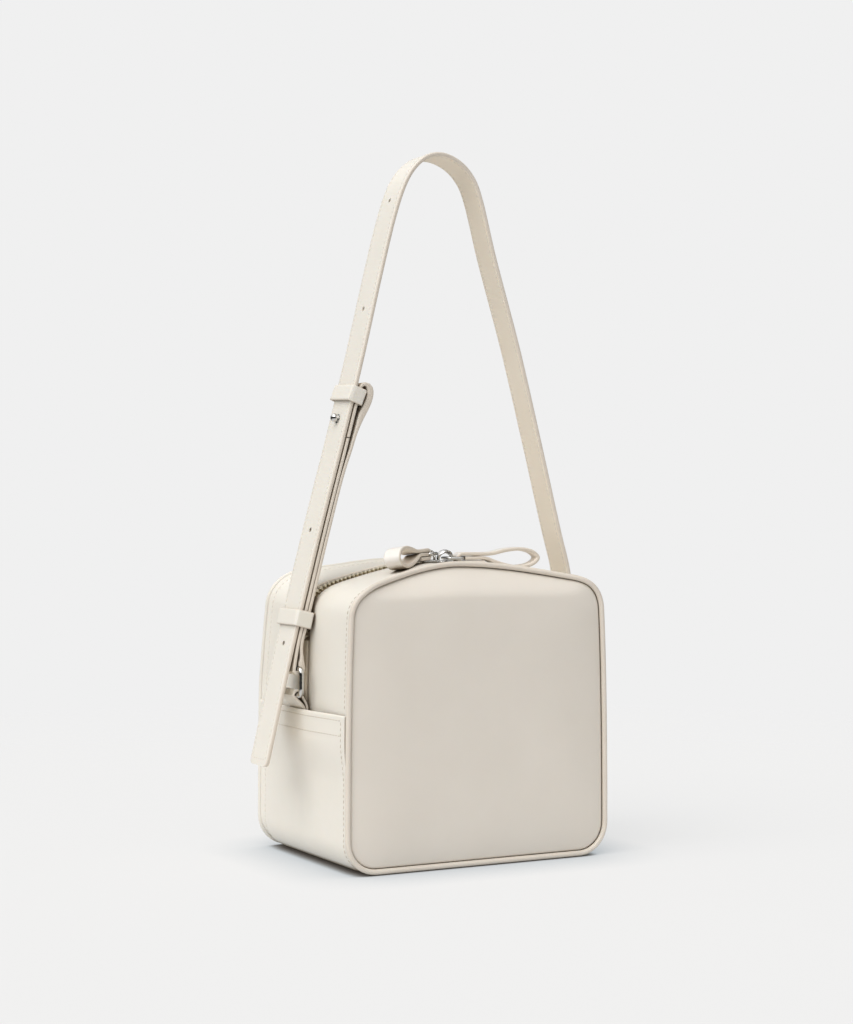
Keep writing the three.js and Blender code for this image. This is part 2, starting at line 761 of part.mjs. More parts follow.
function shortStrapRoute() {
  const outerLayer = (distance) => underStrap(distance, SHORT_OUTER_FACE + SHORT_STRAP_THICKNESS);
  const innerLayer = (distance) => underStrap(distance, SHORT_OUTER_FACE + SHORT_LAYER_STEP);
  const upper = [JOINT_AT, STUD_AT, (STUD_AT + UPPER_KEEPER_AT) / 2, UPPER_KEEPER_AT].map(outerLayer);
  const loop = KEEPER_LOOP.map(({ along, out }) => underStrap(
    UPPER_KEEPER_AT + along * KEEPER_LENGTH,
    SHORT_OUTER_FACE + SHORT_STRAP_THICKNESS + out * KEEPER_LOOP_DEPTH,
  ));
  const bar = new THREE.Vector2(-RING_X, RING_Z + RING_BAR_OFFSET);
  const downFrom = UPPER_KEEPER_AT - KEEPER_LOOP_END * KEEPER_LENGTH;
  const partAt = LOWER_KEEPER_AT - LAYERS_PART_AT * KEEPER_LENGTH;
  const downward = [downFrom, (downFrom + LOWER_KEEPER_AT) / 2, LOWER_KEEPER_AT, partAt].map(innerLayer);
  const fold = arcPoints(bar, RING_RADIUS + GAP, 0, -180, 6);
  const upEnd = JOINT_AT - 2 * GAP;
  const upward = [partAt, LOWER_KEEPER_AT, (upEnd + LOWER_KEEPER_AT) / 2, upEnd].map(outerLayer);
  return smoothRoute([...upper, ...loop, ...downward, ...fold, ...upward]);
}

function shortStrap() {
  const band = strip(shortStrapRoute().reverse(), SHORT_STRAP_THICKNESS, STRAP_WIDTH);
  return cut(band, [holePunch(STUD_AT, SHORT_OUTER_FACE, SHORT_STRAP_THICKNESS)]);
}

// Keeper: a flat leather loop round the strap, closed behind the layers it holds
function keeper(innerDepth) {
  const halfWidth = STRAP_WIDTH / 2 + KEEPER_PLAY;
  const turn = KEEPER_THICKNESS / 4;
  const inside = roundedRectangle(innerDepth / 2, halfWidth, turn, 3);
  const outside = roundedRectangle(
    innerDepth / 2 + KEEPER_THICKNESS,
    halfWidth + KEEPER_THICKNESS,
    turn + KEEPER_THICKNESS,
    3,
  );
  const rings = inside.map((point, i) => [
    new THREE.Vector3(point.x, point.y, -KEEPER_LENGTH / 2),
    new THREE.Vector3(point.x, point.y, KEEPER_LENGTH / 2),
    new THREE.Vector3(outside[i].x, outside[i].y, KEEPER_LENGTH / 2),
    new THREE.Vector3(outside[i].x, outside[i].y, -KEEPER_LENGTH / 2),
  ]);
  return skin(rings, 'loop');
}

// The upper keeper is loose: it is tilted and skewed about the strap
function keeperUpper() {
  const held = SHORT_OUTER_FACE + SHORT_STRAP_THICKNESS;
  const geometry = keeper(held + 2 * GAP + UPPER_KEEPER_SLACK);
  geometry.rotateX(THREE.MathUtils.degToRad(UPPER_KEEPER_SKEW));
  return placeOnStrap(geometry, UPPER_KEEPER_AT, held / 2 + UPPER_KEEPER_SLACK / 4, UPPER_KEEPER_TILT);
}

function keeperLower() {
  const held = SHORT_OUTER_FACE + SHORT_LAYER_STEP + SHORT_STRAP_THICKNESS;
  return placeOnStrap(keeper(held + 2 * GAP + LOWER_KEEPER_SLACK), LOWER_KEEPER_AT, held / 2);
}

// Stud: ball and neck in front, flat flange behind the layer that it is fixed in
function stud() {
  const neck = STUD_NECK / 2;
  const flange = STUD_FLANGE / 2;
  const flangeTop = -(SHORT_OUTER_FACE + SHORT_STRAP_THICKNESS + GAP / 3);
  const ballCentre = STUD_NECK_LENGTH + STUD_BALL / 2;
  const ball = STUD_BALL / 2;
  const neckAngle = THREE.MathUtils.radToDeg(Math.asin(neck / ball));
  const profile = [
    new THREE.Vector2(0, flangeTop - STUD_FLANGE_THICKNESS),
    new THREE.Vector2(flange, flangeTop - STUD_FLANGE_THICKNESS),
    new THREE.Vector2(flange, flangeTop),
    new THREE.Vector2(neck, flangeTop),
    ...arcPoints(new THREE.Vector2(0, ballCentre), ball, neckAngle - 90, 90, 7).slice(0, -1),
    new THREE.Vector2(0, ballCentre + ball),
  ];
  const geometry = new THREE.LatheGeometry(profile, 12);
  geometry.rotateZ(Math.PI / 2);
  return placeOnStrap(geometry, STUD_AT, 0);
}

// Zip slider: a shield-shaped plate with a bridge along it, its meeting end at x = 0
function sliderPlate() {
  const half = SLIDER_WIDTH / 2;
  const noseHalf = SLIDER_NOSE / 2;
  const corner = half - noseHalf;
  const shape = new THREE.Shape();
  shape.moveTo(0, -noseHalf);
  shape.quadraticCurveTo(0, -half, corner, -half);
  shape.lineTo(SLIDER_LENGTH / 2, -half);
  shape.quadraticCurveTo(SLIDER_LENGTH, -half, SLIDER_LENGTH, -noseHalf);
  shape.lineTo(SLIDER_LENGTH, noseHalf);
  shape.quadraticCurveTo(SLIDER_LENGTH, half, SLIDER_LENGTH / 2, half);
  shape.lineTo(corner, half);
  shape.quadraticCurveTo(0, half, 0, noseHalf);
  return new THREE.ExtrudeGeometry(shape, { depth: SLIDER_PLATE, bevelEnabled: false, curveSegments: 3 });
}

function sliderBridge() {
  const start = (SLIDER_LENGTH - BRIDGE_LENGTH) / 2;
  const end = start + BRIDGE_LENGTH;
  const foot = SLIDER_PLATE / 2;
  const shape = new THREE.Shape();
  shape.moveTo(start, foot);
  shape.lineTo(end, foot);
  shape.lineTo(end, SLIDER_HEIGHT - BRIDGE_SHOULDER);
  shape.quadraticCurveTo(end, SLIDER_HEIGHT, end - BRIDGE_SHOULDER, SLIDER_HEIGHT);
  shape.lineTo(start + BRIDGE_SHOULDER, SLIDER_HEIGHT);
  shape.quadraticCurveTo(start, SLIDER_HEIGHT, start, SLIDER_HEIGHT - BRIDGE_SHOULDER);
  const inside = new THREE.Path();
  const eye = SLIDER_PLATE + GAP;
  const roof = SLIDER_HEIGHT - BRIDGE_BAR;
  const chamfer = BRIDGE_BAR / 3;
  inside.moveTo(start + BRIDGE_BAR, eye);
  inside.lineTo(start + BRIDGE_BAR, roof - 2 * chamfer);
  inside.lineTo(start + BRIDGE_BAR + 2 * chamfer, roof);
  inside.lineTo(end - BRIDGE_BAR - 2 * chamfer, roof);
  inside.lineTo(end - BRIDGE_BAR, roof - 2 * chamfer);
  inside.lineTo(end - BRIDGE_BAR, eye);
  shape.holes.push(inside);
  const geometry = new THREE.ExtrudeGeometry(shape, {
    depth: BRIDGE_WIDTH,
    bevelEnabled: false,
    curveSegments: 4,
  });
  geometry.rotateX(Math.PI / 2);
  geometry.translate(0, BRIDGE_WIDTH / 2, 0);
  return geometry;
}

function slider() {
  return join(sliderPlate(), sliderBridge());
}

// Wire link from the bridge to the fold of the pull; its far bar is at the origin
function link() {
  const halfLength = LINK_REACH / 2;
  const outline = roundedRectangle(halfLength, PULL_WIDTH / 2 + GAP + LINK_WIRE / 2, LINK_WIRE, 3);
  const centres = outline.map((point) => new THREE.Vector3(point.x - halfLength, point.y, 0));
  return closedWire(centres, new THREE.Vector3(0, 0, 1), LINK_WIRE / 2, 6);
}

// Pull: one strip whose end layers lie under and between the upper one, beyond them a teardrop loop.
// The link's bar is at the origin and the loop points along +X.
function pull() {
  const step = PULL_THICKNESS + GAP;
  const half = PULL_THICKNESS / 2;
  const loop = PULL_LOOP.map(({ along, up }) => new THREE.Vector2(
    PULL_STACK_LENGTH + along * PULL_LOOP_LENGTH - half,
    up * (PULL_LOOP_HEIGHT / 2 - half),
  ));
  const centre = [
    new THREE.Vector2(PULL_STACK_LENGTH, -step),
    new THREE.Vector2(PULL_STACK_LENGTH / 2, -step),
    ...arcPoints(new THREE.Vector2(0, 0), step, 270, 90, 6),
    new THREE.Vector2(PULL_STACK_LENGTH / 2, step),
    new THREE.Vector2(PULL_STACK_LENGTH, step),
    ...loop,
    new THREE.Vector2(PULL_STACK_LENGTH, 0),
    new THREE.Vector2(PULL_STACK_LENGTH / 2, 0),
    new THREE.Vector2(LINK_WIRE / 2 + 2 * GAP, 0),
  ];
  const route = smoothRoute(centre);
  const face = route.map((point, i) => point.clone().addScaledVector(rightOf(route, i), -half));
  return strip(face, PULL_THICKNESS, PULL_WIDTH);
}

// Height of the zip strips' outer face at a place on the top, midway between the panels
function topHeight(x, standoff) {
  const top = OUTLINE.filter((at) => at.outZ > 0.6).sort((a, b) => a.x - b.x);
  const above = top.findIndex((at) => at.x > x);
  const share = (x - top[above - 1].x) / (top[above].x - top[above - 1].x);
  return THREE.MathUtils.lerp(top[above - 1].z, top[above].z, share) + standoff;
}

const model = new THREE.Group();

function addPiece(name, geometry, material, parent = model) {
  const mesh = new THREE.Mesh(geometry, material);
  mesh.name = name;
  parent.add(mesh);
  return mesh;
}

function addBody() {
  addPiece('front_panel', panel(-1), leather(CREAM_SHADE));
  addPiece('back_panel', panel(1), leather(CREAM_SHADE));
  addPiece('front_piping', piping(-1), leather());
  addPiece('back_piping', piping(1), leather());
  addPiece('base_gusset', baseGusset(), leather());
  addPiece('zip_gusset_front', zipStrip(-1), leather());
  addPiece('zip_gusset_back', zipStrip(1), leather());
  addPiece('zip_tape', zipTape(), fabric());
  addPiece('zip_teeth', zipChain(), metal(OLD_SILVER, 0.35));
}

// A slider with its link and pull, as a group that looks along +X from where the two sliders meet
function addSlider(side, facing, { swing, rise, droop, roll }) {
  const seat = CHAIN_TOP + GAP;
  const start = SLIDER_MEETING_X + facing * GAP;
  const end = start + facing * SLIDER_LENGTH;
  const startZ = topHeight(start, seat);
  const endZ = topHeight(end, seat);
  const seated = new THREE.Group();
  seated.position.set(start, 0, Math.max(startZ, endZ));
  seated.rotation.z = facing > 0 ? 0 : Math.PI;
  addPiece(`zip_slider_${side}`, slider(), metal(), seated);
  const swung = new THREE.Group();
  swung.position.set(SLIDER_LENGTH / 2, 0, SLIDER_PLATE + GAP + LINK_WIRE / 2 + rise);
  swung.rotation.z = THREE.MathUtils.degToRad(swing);
  const held = new THREE.Group();
  held.position.set(LINK_REACH, 0, 0);
  held.rotation.x = THREE.MathUtils.degToRad(roll);
  addPiece(`zip_link_${side}`, link(), metal(), held);
  const pullMesh = addPiece(`zip_pull_${side}`, pull(), leather(), held);
  pullMesh.rotation.y = THREE.MathUtils.degToRad(droop);
  swung.add(held);
  seated.add(swung);
  model.add(seated);
}

function addRing(side, facing) {
  const ringMesh = addPiece(`ring_${side}`, ring(), metal());
  ringMesh.position.set(facing * RING_X, 0, RING_Z);
  const tab = addPiece(`ring_tab_${side}`, ringTab(), leather());
  tab.rotation.z = facing < 0 ? 0 : Math.PI;
}

function addStrap() {
  addPiece('strap', strap(), leather());
  addPiece('strap_short', shortStrap(), leather());
  addPiece('keeper_upper', keeperUpper(), leather());
  addPiece('keeper_lower', keeperLower(), leather());
  addPiece('stud', stud(), metal());
}

addBody();
addSlider('left', -1, {
  swing: LEFT_PULL_SWING,
  rise: LEFT_PULL_RISE,
  droop: LEFT_PULL_DROOP,
  roll: LEFT_PULL_ROLL,
});
addSlider('right', 1, { swing: RIGHT_PULL_SWING, rise: 0, droop: 0, roll: 0 });
addRing('left', -1);
addRing('right', 1);
addStrap();

export default model;
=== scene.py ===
"""Looks of the box bag: smooth leather, stitches, painted edges, zip teeth and polished fittings.

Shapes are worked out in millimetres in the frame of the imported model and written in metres.
"""

import math

import bmesh
import bpy
import numpy as np
from mathutils import Matrix, Vector


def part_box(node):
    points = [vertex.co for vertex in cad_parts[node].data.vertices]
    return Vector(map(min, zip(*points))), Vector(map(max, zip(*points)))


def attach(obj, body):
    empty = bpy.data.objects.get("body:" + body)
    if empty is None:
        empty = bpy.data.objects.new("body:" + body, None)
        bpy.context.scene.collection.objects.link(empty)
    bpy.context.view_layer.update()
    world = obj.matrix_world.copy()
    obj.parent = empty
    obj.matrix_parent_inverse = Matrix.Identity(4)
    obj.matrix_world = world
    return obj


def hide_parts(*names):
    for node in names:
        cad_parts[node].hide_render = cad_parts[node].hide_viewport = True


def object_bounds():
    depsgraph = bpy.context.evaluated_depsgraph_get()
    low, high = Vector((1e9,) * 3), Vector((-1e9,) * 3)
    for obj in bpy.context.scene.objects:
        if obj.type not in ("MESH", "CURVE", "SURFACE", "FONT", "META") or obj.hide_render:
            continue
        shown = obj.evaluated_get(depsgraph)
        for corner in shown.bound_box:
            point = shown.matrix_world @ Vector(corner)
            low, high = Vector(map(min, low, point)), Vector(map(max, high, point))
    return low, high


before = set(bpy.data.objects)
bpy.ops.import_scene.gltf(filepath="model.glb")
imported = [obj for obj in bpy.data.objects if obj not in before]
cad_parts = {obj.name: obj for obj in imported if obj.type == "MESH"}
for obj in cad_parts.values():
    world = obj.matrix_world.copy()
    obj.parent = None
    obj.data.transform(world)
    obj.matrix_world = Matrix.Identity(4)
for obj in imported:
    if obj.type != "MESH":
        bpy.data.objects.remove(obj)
CAD_LOW, CAD_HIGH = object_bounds()

MM = 0.001

# Fit between pieces
GAP = 0.3

# Body
HALF_WIDTH = 80.5
HALF_DEPTH = 58.8
BODY_HEIGHT = 165.6
BASE_CORNER_RADIUS = 16
SHOULDER_HEIGHT = 140
CROWN_RISE = BODY_HEIGHT - SHOULDER_HEIGHT
TOP_BOW = 12
TOP_BOW_REACH = 70
BACK_BOW_SHARE = 0.5
BACK_LEAN = 8
BACK_LEAN_FROM = 96
BACK_LEAN_TO = 150
BACK_RISE = 4.6
BACK_RISE_X = -68
BACK_RISE_REACH = 26

# Panels and piping
PANEL_THICKNESS = 2
PANEL_CROWN = 4
PIPING_RADIUS = 1.5
PIPING_STANDOFF = 1
SEAM = HALF_DEPTH - PIPING_RADIUS - GAP
OUTLINE_BOTTOM = PIPING_STANDOFF + PIPING_RADIUS + GAP
PANEL_EDGE_INSET = PIPING_RADIUS - PIPING_STANDOFF + GAP

# Panel surface: shares of its outline from the edge to the middle, its roll at the top, its rim
PANEL_SHARES = [
    1, 0.995, 0.985, 0.97, 0.95, 0.925, 0.9, 0.88, 0.86, 0.845, 0.83, 0.815, 0.8, 0.785, 0.77, 0.755,
    0.74, 0.7, 0.64, 0.56, 0.45, 0.33, 0.2, 0.08,
]
ROLL_SAMPLES = np.linspace(0, 1, 41)
ROLL_EVEN = 0.5
ROLL_FROM = 146.5
ROLL_LEAST = 6
RIM_PUFF = 0.5
RIM_REACH = 3.5
RIM_DROP = 0.45

# Gusset strips and base band
GUSSET_STANDOFF = 0.6
GUSSET_THICKNESS = 1.8
SEAM_SWELL = 1.15
SEAM_SWELL_REACH = 3.4
BASE_THICKNESS = 2
BASE_RAMP = 8
BAND_HEIGHT = 86
LAP_BOTTOM = 73
BAND_RAMP = 25
BAND_EDGE_THICKNESS = 1.8
BAND_SIDE_ROUNDING = 0.6
# Rows across the band: distances from the seam, then from the middle
BAND_SEAM_ROWS = (0, 0.25, 0.6, 1.2, 2, 2.8, 4, 6)
BAND_FLAT_ROWS = [46, 38, 29, 20, 14, 10, 5]
BAND_ROWS_ALONG = 150
# Share of the band's thickness at a distance from its top edge
BAND_ROUNDING = [(0, 0.12), (0.12, 0.45), (0.4, 0.78), (0.9, 1)]

# Zip
ZIP_OPENING = 9.5
CHAIN_WIDTH = 6.4
CHAIN_THICKNESS = 1.5
CHAIN_TOP = 0.2
TOOTH_PITCH = 1.3
TEETH_RISE = 1.1
TEETH_END = 124
TAPE_END_TOP = 0.9
TAPE_WIDTH = 22
TAPE_THICKNESS = 0.8
TOOTH_HEAD = 0.9
TOOTH_FILL = 0.46
# A tooth's corners seen from above, then the shares of its height, length and width
TOOTH_CORNERS = [(-1, -0.7), (-0.7, -1), (0.7, -1), (1, -0.7), (1, 0.7), (0.7, 1), (-0.7, 1), (-1, 0.7)]
TOOTH_RINGS = [(0, 0.9, 0.96), (0.6, 1, 1), (0.85, 0.86, 0.94), (1, 0.5, 0.78)]
# Edges of the strips along the zip: distance from it, standoff from the outline
FRONT_ZIP_EDGE = [(0, -0.9), (0.1, -0.3), (0.5, 0.12), (1.2, 0.36), (2.4, 0.54), (5, 0.6)]
BACK_ZIP_EDGE = [(0, -0.9), (0, 0.2), (0.15, 0.85), (0.6, 1.3), (1.5, 1.45), (3, 1.2), (6, 0.75)]

# Sliders, links and pulls
SLIDER_MEETING_X = 3.7
SLIDER_LENGTH = 11
SLIDER_PLATE = 1.8
SLIDER_HEIGHT = 7.6
# Half of a slider's plate: length along it, half its width; then height, share of the outline
PLATE_OUTLINE = [
    (0, 1.2), (0.15, 2.2), (0.8, 3.2), (2, 3.8), (5.5, 4), (9, 3.8), (10.2, 3.2), (10.85, 2.2), (11, 1.2),
]
PLATE_LEVELS = [(0, 0.93), (0.3, 1), (1.15, 1), (1.6, 0.96), (1.8, 0.86)]
BRIDGE_SPAN = 4.6
BRIDGE_STEPS = 24
BRIDGE_WIDE = (1.1, 1.9)
BRIDGE_THICK = (0.75, 0.35)
BRIDGE_SET_IN = 0.3
LINK_WIRE = 1.8
LINK_REACH = 9.3
PULL_WIDTH = 10
PULL_THICKNESS = 2.1
PULL_ROUNDING = 0.42
PULL_GROOVE = 0.1
PULL_STACK_LENGTH = 13.8
PULL_LOOP_LENGTH = 34.3
PULL_LOOP_HEIGHT = 12.6
LEFT_PULL = {"swing": 41.5, "rise": 1.6, "droop": 1.6, "roll": 9}
RIGHT_PULL = {"swing": -10, "rise": 0, "droop": 0, "roll": 0}

# Rings and tabs
RING_RADIUS = 1.55
RING_HALF_WIDTH = 13.85
RING_BAR_OFFSET = 7.3
RING_CORNER = 2.95
RING_X = 88.3
RING_Z = 101.35
TAB_WIDTH = 19.4
TAB_THICKNESS = 1.2
TAB_STANDOFF = 1.4
TAB_TUCK = 11

# Strap
STRAP_WIDTH = 22.6
STRAP_THICKNESS = 2.8
STRAP_SHOWN_THICKNESS = 2.35
STRAP_RISE = 301
STRAP_LEAN = 1.9
TAIL_RADIUS = 3.2
TAIL_EXTRA = 1.1
TAIL_ROWS = [0, 0.25, 0.6, 1.1, 1.8, 2.6]
HOLE_DIAMETER = 2.8
HOLE_PITCH = 65
HOLE_COUNT = 5
FIRST_HOLE = 67.7
STUD_HOLE = 2
SHORT_THICKNESS = 1.9
STRAP_ROUNDING = 0.4
STRAP_GROOVE = 0.12
RETURN_LENGTH = 45
RING_FOLD = 14
RING_APPROACH = 0.85
JOINT_BELOW_STUD = 10
LOOP_FILL = 2.1
LOOP_FILL_FROM = (6.4, 9.8)

# Keepers and stud
KEEPER_LENGTH = 9.2
KEEPER_THICKNESS = 1.5
KEEPER_ROUNDING = 0.7
KEEPER_PLAY = 0.6
UPPER_KEEPER_SLACK = 1.2
UPPER_KEEPER_AT = 212.4
UPPER_KEEPER_TILT = 6
UPPER_KEEPER_SKEW = 3
LOWER_KEEPER_SLACK = 0.3
LOWER_KEEPER_AT = 82.6
KEEPER_LOOP_DEPTH = 6.2
KEEPER_LOOP_END = 5.4
LAYERS_PART_AT = 1.6
STUD_BALL = 4.8
STUD_NECK = 2.2
COLLAR_RADIUS = 2.7
COLLAR_HEIGHT = 0.35
STUD_SINK = 0.6
STUD_FLANGE = 5.4
STUD_FLANGE_THICKNESS = 0.8

# Stitches
STITCH_PITCH = 3
STITCH_LENGTH = 2.3
THREAD_RADIUS = 0.26
STRAP_STITCH_INSET = 2.4
SEAM_STITCH_INSET = 4.3
BAND_STITCH_HEIGHTS = (83.2, 75)

# Studio, in metres and degrees; reaches of the painted shadow and shade in millimetres
BACKDROP = 0.871
FLOOR_COLOUR = (0.245, 0.232, 0.22)
FLOOR_GLOW = 0.61
FLOOR_FADE = (0.42, 0.9)
OPEN_GLOW = (0.975, 0.995, 1.01)
# Painted contact shadow on the glowing floor: a soft bluish part and a dark core line
CONTACT_SHADOW_GLOW = (0.52, 0.6, 0.66)
CONTACT_SHADOW_REACH = 42
CORE_SHADOW_GLOW = (0.03, 0.025, 0.02)
CORE_SHADOW_REACH = 7
# Painted shade: a dark brown blended into the leather in gaps, seams and under keepers
CREVICE_SHADE = (0.3, 0.235, 0.165)
CREVICE_SHADE_REACH = 7
LIGHT_FROM = (-0.5, -0.12, 0.86)
LIGHT_SPAN = (0.4, 0.9)
CARD_SCALE = 3.2
CARD_EDGE = (0.45, 0.53)
CARD_SPAN = (0.01, 1.7)
CARD_RISE = (0.2, 0.5)
CARD_RISE_SPAN = (0.04, 1.25)
SUN_FROM = (-0.54, -0.27, 0.8)
SUN_STRENGTH = 2.05
SUN_ANGLE = 60
CAMERA_PLACE = (-0.5445, -1.0173, 0.1929)
CAMERA_TURN = (90.13, 0, -28.04)
CAMERA_LENS = 70.08

# Top edge from the right shoulder to the left one, as Bezier control points:
# a share of half the width, and a share of the crown above the shoulders
TOP_EDGE = [
    (0.973, 0), (0.966, 0.47), (0.865, 0.645), (0.745, 0.695), (0.472, 0.85), (0.211, 0.99),
    (-0.1, 1), (-0.311, 1), (-0.559, 0.784), (-0.745, 0.62), (-0.857, 0.518), (-0.954, 0.353),
    (-0.973, 0),
]

# Outer face of the strap from its free tail to the right side:
# a share of the rings' distance from the middle, and a share of the strap's rise over the rings
STRAP_ROUTE = [
    (-1.229, -0.1485), (-1.051, 0.0708), (-0.8675, 0.2787), (-0.702, 0.4545), (-0.563, 0.6106),
    (-0.4394, 0.76), (-0.3307, 0.8797), (-0.2367, 0.9492), (-0.119, 0.988), (0.0057, 1),
    (0.136, 0.9904), (0.2435, 0.9648), (0.319, 0.921), (0.43, 0.803), (0.609, 0.6316),
    (0.7656, 0.4608), (0.922, 0.284), (1.001, 0.199),
]

# Loop of the short strap behind the upper keeper: keeper lengths above its middle, share of the loop's depth
KEEPER_LOOP = [
    (0.42, 0.02), (0.64, 0.2), (0.7, 0.52), (0.58, 0.84), (0.28, 1), (-0.15, 1), (-0.6, 0.88),
    (-1.08, 0.69), (-1.68, 0.48), (-2.4, 0.31), (-3.4, 0.22),
]

# Teardrop loop of a pull: a share of its length, and a share of half its height
PULL_LOOP = [
    (0.18, 0.52), (0.42, 0.86), (0.66, 1), (0.88, 0.74), (1, 0), (0.88, -0.74), (0.66, -1),
    (0.44, -0.84), (0.22, -0.42),
]


# Curves


def bezier(controls, steps):
    controls = np.asarray(controls, float)
    t = np.linspace(0, 1, steps, endpoint=False)[:, None]
    degree = len(controls) - 1
    return sum(
        math.comb(degree, i) * t**i * (1 - t) ** (degree - i) * p for i, p in enumerate(controls)
    )


def around(sides):
    """Angles at even steps of a full turn."""
    return np.arange(sides) * 2 * math.pi / sides


def arc(centre, radius, start, end, steps):
    angles = np.radians(np.linspace(start, end, steps + 1))
    return np.column_stack([centre[0] + radius * np.cos(angles), centre[1] + radius * np.sin(angles)])


def spline(points, steps=12):
    points = np.asarray(points, float)
    last = len(points) - 1
    made = []
    for i in range(last):
        before, here, after = points[max(i - 1, 0)], points[i], points[i + 1]
        beyond = points[min(i + 2, last)]
        leave, arrive = (after - before) / 2, (beyond - here) / 2
        for t in np.linspace(0, 1, steps, endpoint=False):
            cubic = (2 * here - 2 * after + leave + arrive) * t**3
            square = (-3 * here + 3 * after - 2 * leave - arrive) * t**2
            made.append(cubic + square + leave * t + here)
    made.append(points[-1])
    return np.array(made)


def lengths_along(points, closed=False):
    steps = np.diff(points, axis=0, **({"append": points[:1]} if closed else {}))
    return np.concatenate([[0], np.cumsum(np.linalg.norm(steps, axis=1))])


def sampled(wanted, along, values):
    """Rows of values at the wanted lengths."""
    return np.column_stack([np.interp(wanted, along, column) for column in np.transpose(values)])


def resampled(points, spacing, closed=False):
    """The same line with points at an even spacing."""
    along = lengths_along(points, closed)
    line = np.vstack([points, points[:1]]) if closed else points
    count = max(2, round(along[-1] / spacing))
    wanted = np.linspace(0, along[-1], count + (0 if closed else 1), endpoint=not closed)
    return sampled(wanted, along, line)


def unit(vectors):
    return vectors / np.linalg.norm(vectors, axis=1)[:, None]


def tangents(ring):
    """Unit vectors along a closed run of points."""
    return unit(np.roll(ring, -1, axis=0) - np.roll(ring, 1, axis=0))


def rights(route):
    """Unit vectors to the right of a route in the XZ plane."""
    return unit(np.gradient(route, axis=0))[:, ::-1] * [1, -1]


def smooth_step(x, low, high):
    t = np.clip((x - low) / (high - low), 0, 1)
    return t * t * (3 - 2 * t)


# Outline of the body, seen from the front, as places along its length


def outline_line():
    corner = BASE_CORNER_RADIUS
    flat = HALF_WIDTH - corner
    corner_top = OUTLINE_BOTTOM + corner
    bend = (corner_top + 2 * SHOULDER_HEIGHT) / 3
    top = [(a * HALF_WIDTH, SHOULDER_HEIGHT + u * CROWN_RISE) for a, u in TOP_EDGE]
    runs = [
        np.array([(0, OUTLINE_BOTTOM), (flat / 2, OUTLINE_BOTTOM)]),
        arc((flat, corner_top), corner, -90, 0, 30)[:-1],
        bezier([(HALF_WIDTH, corner_top), (HALF_WIDTH, bend), top[0]], 60),
        *[bezier(top[i : i + 4], 60) for i in range(0, len(top) - 3, 3)],
        bezier([top[-1], (-HALF_WIDTH, bend), (-HALF_WIDTH, corner_top)], 60),
        arc((-flat, corner_top), corner, 180, 270, 30),
        np.array([(-flat / 2, OUTLINE_BOTTOM)]),
    ]
    return resampled(np.vstack(runs), 1, closed=True)


def softened(values, reach=5):
    """Values along the closed outline, averaged over a few millimetres."""
    offsets = np.arange(-reach, reach + 1)
    weights = np.exp(-((offsets / reach * 2) ** 2))
    rolled = sum(w * np.roll(values, k, axis=0) for k, w in zip(offsets, weights))
    return rolled / weights.sum()


def back_lean(z):
    return BACK_LEAN * np.clip((z - BACK_LEAN_FROM) / (BACK_LEAN_TO - BACK_LEAN_FROM), 0, 1)


class Outline:
    """Places on the body's outline by the length along it, from the middle of the base to the right."""

    def __init__(self):
        line = outline_line()
        outward = unit(softened(tangents(line)[:, ::-1] * [1, -1], 3))
        x, z = line.T
        bow = np.where(z > SHOULDER_HEIGHT, TOP_BOW * np.maximum(0, 1 - (x / TOP_BOW_REACH) ** 2), 0)
        lean = back_lean(z)
        table = np.column_stack([line, outward, softened(bow, 7), softened(lean, 7)])
        self.s = lengths_along(line, closed=True)
        self.table = np.vstack([table, table[:1]])
        self.length = self.s[-1]

    def at(self, s):
        """Columns x, z, outward x, outward z, bow and lean."""
        return sampled(np.mod(s, self.length), self.s, self.table)

    def height_at(self, height, side):
        """Length along the outline where one side is at a height."""
        half = self.length / 2
        s = np.linspace(0 if side > 0 else self.length, half, 4000)
        return s[np.argmax(self.at(s)[:, 1] > height)]


OUTLINE = Outline()


def seam_recess(places, side):
    bow, lean = places[:, 4], places[:, 5]
    return bow if side < 0 else bow * BACK_BOW_SHARE + lean


def seam_depth(places, side):
    return HALF_DEPTH - seam_recess(places, side) - PIPING_RADIUS - GAP


def on_outline(places, y, standoff):
    """Points at a depth and a standoff from the outline."""
    x = places[:, 0] + standoff * places[:, 2]
    z = places[:, 1] + standoff * places[:, 3]
    return np.column_stack([x, np.broadcast_to(y, x.shape), z])


def swept(places, section):
    """Rings of a section, given as depths and standoffs, at places along the outline."""
    return np.stack([on_outline(places, y, standoff) for y, standoff in section], axis=1)


def raised_back(points):
    """Points with the back's left shoulder a little fuller than the front's, as in the photograph."""
    x, y, z = np.moveaxis(points, -1, 0)
    near = np.exp(-(((x - BACK_RISE_X) / BACK_RISE_REACH) ** 2))
    rise = BACK_RISE * near * smooth_step(y, 0, HALF_DEPTH) * smooth_step(z, BACK_LEAN_FROM, SHOULDER_HEIGHT)
    return np.stack([x, y, z + rise], axis=-1)


# Materials


class Tree:
    """A node tree with short calls for adding and joining nodes."""

    def __init__(self, tree):
        self.tree = tree

    def add(self, kind, **values):
        node = self.tree.nodes.new(kind)
        for key, value in values.items():
            if key in node.inputs:
                node.inputs[key].default_value = value
            else:
                setattr(node, key, value)
        return node

    def join(self, output, target):
        self.tree.links.new(output, target)

    def span(self, value, low, high, out_low, out_high):
        ranges = {"From Min": low, "From Max": high, "To Min": out_low, "To Max": out_high}
        made = self.add("ShaderNodeMapRange", **ranges)
        self.join(value, made.inputs["Value"])
        return made.outputs["Result"]

    def mix(self, factor, first, second):
        made = self.add("ShaderNodeMixShader")
        for source, target in zip((factor, first.outputs[0], second.outputs[0]), made.inputs):
            self.join(source, target)
        return made


